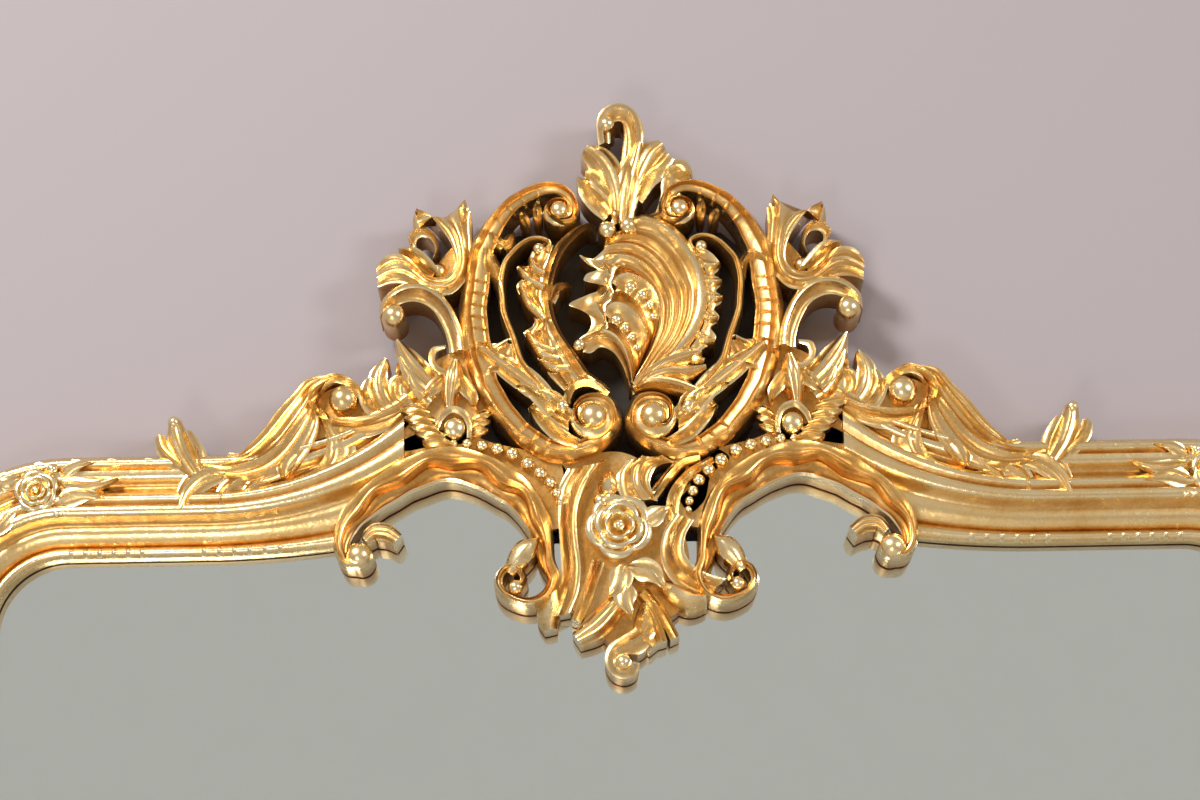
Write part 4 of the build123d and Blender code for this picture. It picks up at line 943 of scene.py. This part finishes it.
# Fronds under the stems: a lobed leaf body with five ribs fans from the lower volute out to the C scroll.
# Gilded wood, carved with the crest.
lower_fronds = [
    frond([(-58, 1800), (-78, 1816), (-98, 1832), (-115, 1846)], [8, 9, 8, 2], (-0.35, 0.35), [54, 54, 53],
          [48, 48, 49], 0.25, 12),
    frond([(-58, 1798), (-74, 1818), (-90, 1829), (-107, 1827)], [8, 8, 7, 2], (0,), [54, 54, 53],
          [48, 48, 49], 0.25, 12),
    frond([(-54, 1790), (-64, 1802), (-74, 1811), (-85, 1812)], [8, 8, 7, 2], (0,), [55, 55, 53],
          [48, 49, 49], 0.25, 12),
    frond([(-36, 1764), (-51, 1771), (-62, 1782), (-75, 1794)], [4, 6, 6, 1], (0,), [54, 55, 53],
          [48, 49, 49], 0.25, 12),
    frond([(-46, 1790), (-52, 1800), (-60, 1806), (-70, 1808)], [4, 5, 4, 1], (0,), [54, 56, 54],
          [48, 50, 49], 0.25, 12)]
frond_edge = [(-92, 1854), (-100, 1850), (-108, 1850), (-115, 1846), (-113, 1840), (-107, 1836),
              (-101, 1832), (-106, 1829),
              (-106, 1825), (-98, 1823), (-88, 1824), (-83, 1819), (-87, 1814), (-84, 1810), (-76, 1810),
              (-70, 1805), (-72, 1799),
              (-76, 1794), (-72, 1789), (-62, 1785), (-54, 1780), (-44, 1772)]
frond_vein = [(-92, 1848), (-98, 1844), (-101, 1840), (-96, 1834), (-92, 1829), (-86, 1828), (-80, 1820),
              (-74, 1814), (-66, 1808),
              (-62, 1800), (-60, 1793), (-54, 1788), (-44, 1782)]
frond_root = [(-88, 1848), (-84, 1840), (-78, 1830), (-70, 1820), (-62, 1811), (-54, 1803), (-46, 1796),
              (-38, 1790)]
lower_fronds.append(carve([frond_edge, frond_vein, frond_root], [46, [52, 50, 53, 50, 53, 50, 53, 51], 50],
                          [0.3, 0.3], 12, 120, 6))
for side, flip in sides:
    piece(side + "_fronds", lower_fronds, [side + "_lower_leaf"], gold, mirrored=flip)


# Inner C on the left: a narrow banded scroll with a lobed leaf on its back and a wrap over the lower volute.
# Gilded wood, carved with the crest.
inner_line = along([(-20, 1947), (-26, 1949), (-33, 1946), (-40, 1940), (-46, 1934), (-51, 1926),
                    (-55, 1917), (-58, 1906),
                    (-60, 1896), (-60, 1885), (-59, 1875), (-56, 1864), (-51, 1853), (-46, 1845),
                    (-41, 1837), (-36, 1829),
                    (-30, 1820), (-22, 1814)], 80)
inner_half = np.array([2.5, 4, 4.5, 4.5, 4.5, 4.5, 4.5, 5, 5])
inner = [carve([beside(inner_line, inner_half), beside(inner_line, inner_half * 0.2),
                beside(inner_line, -inner_half)],
               [[46, 48, 47], 55, [46, 48, 47]], [0.3, 0.2], 12, 80, 5),
         frond([(-45, 1797), (-44, 1804), (-40, 1811), (-33, 1814), (-25, 1814), (-17, 1810), (-11, 1804)],
               [3, 3.5, 4, 4, 3],
               (0.1,), [54, 57, 56], [50, 52, 51], 0.1, 20)]
inner_edge = [(-62, 1934), (-70, 1930), (-74, 1922), (-75, 1916), (-84, 1915), (-83, 1910), (-79, 1906),
              (-84, 1900), (-84, 1895),
              (-81, 1889), (-77, 1881), (-72, 1874), (-70, 1868), (-72, 1864), (-79, 1858), (-77, 1854),
              (-72, 1851), (-73, 1847),
              (-68, 1843), (-68, 1836), (-63, 1832), (-60, 1824), (-52, 1814), (-44, 1806)]
inner_vein = [(-58, 1933), (-63, 1926), (-66, 1919), (-70, 1912), (-71, 1905), (-72, 1898), (-72, 1891),
              (-68, 1882), (-65, 1874),
              (-63, 1866), (-65, 1858), (-63, 1851), (-61, 1844), (-57, 1836), (-53, 1827), (-47, 1817),
              (-40, 1808)]
inner_root = [(-54, 1932), (-58, 1922), (-61, 1912), (-63, 1901), (-64, 1890), (-63, 1879), (-61, 1869),
              (-57, 1858), (-53, 1849),
              (-48, 1840), (-43, 1831), (-37, 1821), (-31, 1813)]
inner.append(carve([inner_edge, inner_vein, inner_root], [46, [51, 54, 51, 54, 51, 53, 51, 54, 51, 53, 51,
                                                               52], 49], [0.3, 0.3],
                   12, 150, 6))
for tip, root in [((-82, 1913), (-62, 1896)), ((-81, 1897), (-62, 1868)), ((-76, 1857), (-55, 1841)),
                  ((-71, 1847), (-51, 1834)),
                  ((-65, 1834), (-43, 1826)), ((-73, 1921), (-61, 1908))]:
    middle = ((tip[0] + root[0]) / 2 - 1, (tip[1] + root[1]) / 2 - 3)
    inner.append(frond([root, middle, tip], [3, 4, 4, 2.5], (0,), [54, 56, 54], [50, 50, 49], -0.15, 12, 24))
inner.append(frond([(-57, 1884), (-51, 1896), (-46, 1898), (-40, 1897)], [4, 4.5, 3.5, 1], (0,),
                   [52, 54, 52], 47, 0.2, 12, 24))
inner.append(knob(-48, 1795, 5, 56, 20))
piece("left_inner_run", inner, ["left_inner_scroll", "inner_leaf"], gold)


# Shell plume: five hollow flutes sweep up from one root and curl over, with a ragged edge on the left, a
# leafy one
# on the right and two rows of pearls in its curls. Gilded wood, carved with the crest.
plume_0 = [(12, 1955), (22, 1957), (34, 1953), (49, 1942), (58, 1930), (65, 1918), (69, 1906), (71, 1894),
           (71, 1883), (69, 1872),
           (65, 1860), (58, 1848), (48, 1836), (32, 1822), (12, 1808)]
plume_1 = [(6, 1941), (12, 1949), (27, 1948), (43, 1936), (50, 1926), (56, 1917), (60, 1907), (62, 1896),
           (62, 1886),
           (61, 1875), (58, 1865), (52, 1853), (43, 1840), (29, 1826), (10, 1809)]
plume_2 = [(-2, 1938), (12, 1938), (24, 1934), (34, 1925), (42, 1914), (48, 1901), (52, 1891), (52, 1880),
           (51, 1870), (47, 1858),
           (41, 1846), (32, 1835), (22, 1823), (9, 1810)]
plume_3 = [(-12, 1929), (0, 1931), (10, 1930), (20, 1925), (30, 1916), (37, 1905), (43, 1894), (45, 1883),
           (45, 1872),
           (42, 1860), (36, 1848), (28, 1836), (19, 1823), (8, 1811)]
plume_4 = [(-14, 1921), (-2, 1922), (9, 1920), (19, 1914), (28, 1904), (34, 1892), (37, 1881), (37, 1870),
           (35, 1858),
           (30, 1846), (23, 1834), (16, 1822), (8, 1812)]
plume_5 = [(-12, 1913), (-4, 1913), (4, 1911), (12, 1907), (21, 1899), (28, 1889), (31, 1879), (31, 1868),
           (29, 1856),
           (25, 1845), (19, 1833), (13, 1822), (8, 1812)]
plume = [
    carve([plume_0, plume_1, plume_2, plume_3, plume_4, plume_5],
          [[50, 50, 49, 48, 50], [58, 57, 56, 55, 56], [55, 56, 55, 54, 56], [54, 55, 54, 53, 55],
           [53, 54, 53, 52, 55], [52, 52, 51, 50, 54]], [-0.12, 0.42, 0.42, 0.42, 0.35], 12, 100, 6),
    knob(7, 1947, 7, 59, 14), knob(-10, 1944, 7.5, 57, 14),
    carve([[(-7, 1898), (-2, 1904), (5, 1906), (14, 1903), (23, 1896), (29, 1886), (31, 1874), (29, 1860),
            (24, 1846), (16, 1829),
            (8, 1812)],
           [(-3, 1896), (1, 1899), (8, 1898), (15, 1893), (21, 1885), (25, 1876), (26, 1866), (25, 1854),
            (21, 1842), (15, 1828),
            (8, 1812)],
           [(-5, 1891), (-1, 1891), (4, 1889), (10, 1884), (15, 1878), (19, 1870), (21, 1861), (21, 1851),
            (18, 1840), (13, 1826),
            (8, 1812)]], [[52, 54, 54, 53, 54], [47, 46, 46, 47, 52], [51, 53, 53, 52, 53]], 0.1, 12, 60, 5),
    carve([[(-14, 1872), (-11, 1878), (-5, 1881), (3, 1879), (11, 1872), (17, 1863), (20, 1852), (18, 1839),
            (13, 1826), (8, 1812)],
           [(-10, 1869), (-6, 1871), (-1, 1868), (4, 1862), (8, 1856), (12, 1848), (14, 1838), (12, 1826),
            (8, 1812)],
           [(-12, 1864), (-8, 1864), (-3, 1860), (1, 1854), (5, 1847), (8, 1839), (9, 1829), (8, 1812)]],
          [[52, 54, 54, 53, 54], [47, 46, 46, 47, 52], [51, 53, 53, 52, 53]], 0.1, 12, 60, 5),
    carve([[(-36, 1850), (-27, 1856), (-18, 1859), (-8, 1856), (1, 1845), (6, 1829), (8, 1812)],
           [(-36, 1846), (-26, 1851), (-17, 1852), (-8, 1848), (0, 1838), (5, 1825), (7, 1812)],
           [(-33, 1842), (-26, 1840), (-17, 1845), (-8, 1841), (-1, 1831), (3, 1820), (5, 1811)]],
          [[50, 52, 52, 53], [54, 56, 55, 54], [46, 47, 48, 50]], 0.25, 12, 50, 5),
    knob(-34, 1846, 5, 55, 12),
    carve([[(-12, 1928), (-24, 1920), (-33, 1924), (-26, 1915), (-19, 1910), (-28, 1906), (-30, 1902),
            (-19, 1899), (-17, 1895),
            (-27, 1889), (-42, 1880), (-32, 1876), (-26, 1872), (-24, 1865), (-27, 1858), (-34, 1852)],
           [(-2, 1922), (-9, 1917), (-14, 1916), (-13, 1912), (-10, 1908), (-14, 1904), (-15, 1900),
            (-12, 1897), (-11, 1892),
            (-15, 1886), (-20, 1880), (-18, 1875), (-15, 1870), (-14, 1865), (-16, 1859), (-24, 1855)],
           [(4, 1914), (-2, 1911), (-5, 1907), (-6, 1903), (-7, 1899), (-7, 1895), (-6, 1890), (-8, 1884),
            (-12, 1879), (-13, 1873),
            (-12, 1867), (-11, 1861), (-14, 1856)]],
          [[50, 47, 50, 47, 50, 47, 49], [53, 55, 53, 56, 53, 55, 53], [51, 51, 51, 51]], [0.15, 0.25], 12,
          110, 6)]
for line, widths in [
        ([(10, 1812), (22, 1822), (36, 1830), (50, 1835), (64, 1838)], [3, 7, 8, 7, 2]),
        ([(10, 1811), (24, 1818), (38, 1822), (52, 1822), (67, 1826)], [3, 6, 7, 6, 2]),
        ([(8, 1809), (20, 1814), (34, 1814), (46, 1811), (60, 1806)], [3, 5, 6, 6, 3])]:
    plume.append(frond(line, widths, (-0.35, 0.35), [53, 56, 54], [47, 49, 48], 0.25, 12, 40))
plume.append(knob(53, 1794, 8, 54, 12, 24, 8))
piece("shell_plume_run", plume, ["shell_plume"], gold)
back_leaves = []
for root, tip in [((62, 1918), (81, 1913)), ((66, 1904), (82, 1899)), ((68, 1890), (82, 1885)),
                  ((66, 1874), (78, 1867)),
                  ((60, 1856), (75, 1848)), ((52, 1842), (66, 1832))]:
    middle = ((root[0] + tip[0]) / 2, (root[1] + tip[1]) / 2 - 3)
    back_leaves.append(frond([root, middle, tip], [4, 5, 4.5, 2.5], (0,), [51, 54, 53], [47, 47, 47], -0.12,
                             12, 20))
back_edge = [(62, 1930), (70, 1927), (77, 1921), (81, 1913), (79, 1908), (76, 1905), (81, 1901), (81, 1896),
             (77, 1891), (82, 1886),
             (81, 1881), (75, 1876), (79, 1869), (77, 1864), (72, 1860), (76, 1852), (74, 1847), (67, 1843),
             (58, 1836)]
back_root = [(56, 1928), (62, 1922), (67, 1914), (69, 1905), (70, 1896), (70, 1887), (70, 1878), (68, 1868),
             (65, 1858), (60, 1849),
             (52, 1838)]
back_leaves.append(carve([back_edge, back_root], [47, 51], 0.15, 12, 110, 5))
piece("plume_leaf_tips", back_leaves, ["back_leaf"], gold)
plume_pearls = [knob(x, z, r, 47 + r, 12, 14, 7) for x, z, r in
                [(8, 1896, 4.8), (17, 1889, 4.4), (23, 1880, 4.0), (26, 1870, 3.5),
                 (-4, 1868, 4.8), (3, 1861, 4.2), (8, 1853, 3.8), (12, 1844, 3.3)]]
piece("plume_pearl_rows", plume_pearls, ["plume_pearls"], gold)


# Finial: a leafy stem that leans right and ends in a rolled curl, with leaves on both sides.
# Gilded wood, carved with the crest and standing free above it.
finial_curl = [
    carve([[(-16, 2020), (-17, 2030), (-17, 2040), (-14, 2048), (-8, 2053), (0, 2055), (8, 2053), (15, 2047),
            (20, 2038),
            (22, 2028), (21, 2018), (18, 2008)],
           [(-11, 2021), (-12, 2030), (-12, 2038), (-9, 2044), (-4, 2048), (2, 2049), (8, 2047), (13, 2041),
            (15, 2033),
            (16, 2025), (15, 2016), (12, 2006)],
           [(-6, 2022), (-6, 2030), (-6, 2034), (-4, 2038), (-1, 2040), (2, 2040), (4, 2038), (5, 2033),
            (5, 2026),
            (4, 2018), (3, 2010), (1, 2000)]],
          [[46, 50, 52, 51, 48], [50, 55, 57, 55, 51], [46, 48, 50, 49, 47]], [0.15, 0.25], 12, 60, 5),
    knob(-9, 2037, 7, 57, 14)]
piece("finial_curl_run", finial_curl, ["finial_curl"], gold)
finial = [
    frond([(2, 1950), (4, 1970), (8, 1988), (13, 2004), (17, 2020)], [8, 10, 11, 9, 6], (-0.4, 0.3),
          [50, 54, 54, 53], [44, 46, 46], 0.25, 12),
    frond([(-2, 1962), (-4, 1980), (-10, 1998), (-17, 2008), (-27, 2015)], [6, 9, 12, 12, 7], (-0.4, 0.3),
          [50, 54, 54], [44, 46, 47], 0.25, 12),
    frond([(-8, 1958), (-16, 1968), (-25, 1980), (-34, 1992)], [6, 9, 8, 1], (0,), [50, 53, 51],
          [44, 46, 46], 0.2, 12),
    frond([(-6, 1975), (-14, 1986), (-21, 1993), (-27, 1995)], [5, 8, 7, 3], (0,), [50, 54, 53],
          [46, 48, 48], 0.2, 12),
    frond([(4, 1956), (6, 1972), (8, 1988), (9, 2004)], [6, 10, 9, 2], (0,), [52, 56, 55], [47, 49, 50],
          0.15, 12),
    frond([(14, 1985), (20, 2000), (27, 2012), (36, 2019)], [7, 10, 11, 6], (-0.4, 0.4), [50, 53, 53],
          [44, 46, 47], 0.25, 12),
    frond([(14, 1972), (24, 1990), (36, 2001), (42, 2009)], [6, 8, 9, 5], (0,), [50, 53, 52], [44, 46, 47],
          0.2, 12),
    frond([(20, 1952), (34, 1956), (42, 1972), (46, 1990), (60, 1993)], [5, 7, 8, 8, 2], (0.2,),
          [50, 53, 53], [44, 46, 47], 0.2, 12),
    frond([(36, 1990), (42, 1998), (50, 2000), (60, 1991)], [5, 7, 7, 2], (0,), [48, 51, 50], [44, 45, 45],
          0.2, 12)]
piece("finial_leaves_run", finial, ["finial_leaves"], gold)


# Pendant: a rose with a bud and leaves on an asymmetrical run of scrolls and lobes that ends in a hanging
# curl.
# Gilded wood, carved with the crest, standing in front of the glass.
pendant_scrolls = [
    carve([[(-45, 1744), (-52, 1728), (-53, 1706), (-52, 1684), (-52, 1662), (-58, 1640), (-66, 1624)],
           [(-32, 1745), (-42, 1726), (-46, 1706), (-46, 1685), (-44, 1662), (-47, 1642), (-54, 1624)],
           [(-14, 1752), (-30, 1730), (-38, 1708), (-38, 1686), (-36, 1664), (-38, 1644), (-44, 1628)]],
          [[46, 48, 48, 47, 46, 46], [52, 56, 56, 55, 53, 50], [47, 49, 49, 48, 46, 45]], 0.3, 21.6, 60, 5),
    frond([(-56, 1650), (-60, 1636), (-62, 1624), (-60, 1614)], [6, 8, 9, 5], (0,), [50, 54, 53, 48],
          [42, 44, 42], -0.15, 21.6),
    frond([(-22, 1668), (-28, 1650), (-34, 1634), (-40, 1620)], [5, 5, 5, 4], (0,), [52, 54, 52],
          [46, 47, 46], 0.2, 21.6),
    frond([(-2, 1640), (-12, 1628), (-24, 1616), (-40, 1606)], [6, 9, 10, 6], (-0.5, 0, 0.5),
          [52, 56, 54, 50], [46, 47, 44], 0.3, 21.6),
    carve([[(2, 1750), (-6, 1738), (-4, 1722), (4, 1712)], [(14, 1752), (6, 1742), (6, 1728), (12, 1716)],
           [(30, 1752), (16, 1746), (12, 1732), (20, 1716)], [(44, 1748), (26, 1744), (20, 1732),
                                                              (26, 1716)]],
          [47, 53, 53, 47], 0.3, 21.6, 40, 5),
    frond([(22, 1720), (34, 1736), (46, 1748), (60, 1752)], [4, 4, 4, 3], (0,), [50, 54, 52], [45, 47, 46],
          0.2, 21.6),
    frond([(36, 1700), (40, 1722), (52, 1738), (70, 1750)], [5, 5, 4, 3], (0,), [50, 54, 52], [45, 47, 46],
          0.2, 21.6),
    carve([[(40, 1706), (30, 1690), (27, 1672), (32, 1655), (44, 1642), (62, 1634)],
           [(46, 1702), (38, 1688), (36, 1672), (41, 1660), (52, 1650), (70, 1644)],
           [(54, 1700), (47, 1687), (46, 1674), (51, 1665), (62, 1657), (78, 1652)]],
          [[48, 49, 49, 48], [53, 56, 55, 53], [47, 48, 48, 47]], 0.3, 21.6, 50, 5),
    frond([(26, 1650), (38, 1641), (50, 1635), (62, 1636)], [4, 8, 9, 6], (0.3,), [52, 56, 56, 52],
          [44, 45, 43], -0.1, 21.6),
    frond([(8, 1642), (16, 1630), (23, 1616), (27, 1602)], [3, 4, 4, 4], (0,), [50, 53, 52], [45, 46, 46],
          0.25, 21.6),
    frond([(14, 1644), (23, 1632), (31, 1618), (37, 1605)], [3, 4, 4, 4], (0,), [50, 53, 52], [45, 46, 46],
          0.25, 21.6)]
piece("pendant_scrolls_run", pendant_scrolls, ["pendant_scrolls"], gold)
pendant_rose = rose((-5, 1695), 27, 59.5, 40, 35)
piece("pendant_rose_bloom", pendant_rose, ["pendant_rose"], gold)
pendant_leaves = [
    frond([(-12, 1718), (-13, 1729), (-11, 1741)], [4, 8, 7, 2], (0,), [52, 58, 54], [46, 48, 46], -0.15, 40,
          20),
    knob(-19, 1716, 6, 56, 40), leaf((14, 1697), (36, 1710), 8, 57, 40),
                  leaf((-2, 1664), (-15, 1636), 9, 57, 40, 0.1),
    leaf((2, 1662), (31, 1642), 9.5, 57, 40, 0.15), leaf((0, 1650), (4, 1621), 9, 57, 40, -0.12)]
piece("pendant_leaf_run", pendant_leaves, ["pendant_leaves"], gold)
pendant_drop = [
    carve([[(14, 1622), (4, 1612), (-6, 1606), (-15, 1600), (-18, 1588), (-13, 1577), (-3, 1573), (6, 1577),
            (9, 1586)],
           [(18, 1616), (10, 1606), (0, 1601), (-8, 1597), (-12, 1588), (-9, 1580), (-3, 1578), (2, 1581),
            (4, 1586)],
           [(22, 1610), (16, 1598), (8, 1592), (0, 1592), (-5, 1589), (-6, 1585), (-3, 1583), (0, 1584),
            (1, 1586)]],
          [[48, 50, 50, 50, 48], [54, 56, 56, 56, 54], [48, 50, 50, 52, 52]], [0.15, 0.2], 21.6, 70, 5),
    frond([(16, 1634), (14, 1620), (14, 1606), (20, 1598)], [5, 8, 9, 4], (-0.2,), [52, 56, 55, 50],
          [46, 47, 46], 0.1, 21.6),
    knob(-4, 1586, 6.5, 58, 21.6)]
piece("pendant_curl", pendant_drop, ["pendant_drop"], gold)


# Plain parts: the silver behind the glass, the black crest board, the plywood back, the zinc-plated steel
# and the rubber bumpers. The back is held by turned tabs, and two rings on straps hang the mirror.
def grained(made, shader, dark, light, scale, stretch, relief):
    """Two tones mixed by noise on stretched Object coordinates, with the same noise as relief."""
    tree = made.node_tree
    where = tree.nodes.new("ShaderNodeTexCoord")
    pull = tree.nodes.new("ShaderNodeMapping")
    pull.inputs["Scale"].default_value = stretch
    tree.links.new(where.outputs["Object"], pull.inputs["Vector"])
    grain = noise(tree, pull.outputs["Vector"], scale)
    tree.links.new(ramp(tree, grain, [(0.3, dark), (0.7, light)]), shader.inputs["Base Color"])
    rise = tree.nodes.new("ShaderNodeBump")
    rise.inputs["Distance"].default_value = relief
    tree.links.new(grain, rise.inputs["Height"])
    tree.links.new(rise.outputs["Normal"], shader.inputs["Normal"])


def dress(name, colour, roughness, metallic, dark, light, scale, stretch, relief, parts):
    """A grained material put on the named parts."""
    made, shader = plain_material(name, colour, roughness, metallic)
    grained(made, shader, dark, light, scale, stretch, relief)
    for part in parts:
        nodes[part].data.materials.clear()
        nodes[part].data.materials.append(made)


even = (1, 1, 1)
along_grain = (1, 1, 0.04)
dress("black_board", (0.012, 0.011, 0.010, 1), 0.7, 0.0, (0.007, 0.006, 0.006, 1), (0.018, 0.016, 0.015, 1),
      60, even,
      0.0003, ["crest_backboard"])
dress("silvering", (0.93, 0.93, 0.92, 1), 0.03, 1.0, (0.925, 0.925, 0.915, 1), (0.935, 0.935, 0.925, 1), 30,
      even,
      0.0, ["silver_coat"])
dress("plywood", (0.36, 0.24, 0.14, 1), 0.65, 0.0, (0.30, 0.19, 0.105, 1), (0.42, 0.29, 0.175, 1), 55,
      along_grain,
      0.0003, ["back_panel"])
dress("zinc_steel", (0.56, 0.57, 0.58, 1), 0.38, 1.0, (0.50, 0.51, 0.53, 1), (0.61, 0.62, 0.63, 1), 260,
      even,
      0.0001, ["crest_plates", "crest_screws", "splice_plates", "splice_screws", "panel_tabs", "tab_screws",
               "hanger_screws", "left_hanger_strap", "right_hanger_strap", "left_hanger_ring",
               "right_hanger_ring"])
dress("rubber", (0.025, 0.024, 0.023, 1), 0.8, 0.0, (0.018, 0.017, 0.016, 1), (0.032, 0.031, 0.030, 1), 500,
      even,
      0.0002, ["wall_bumpers"])
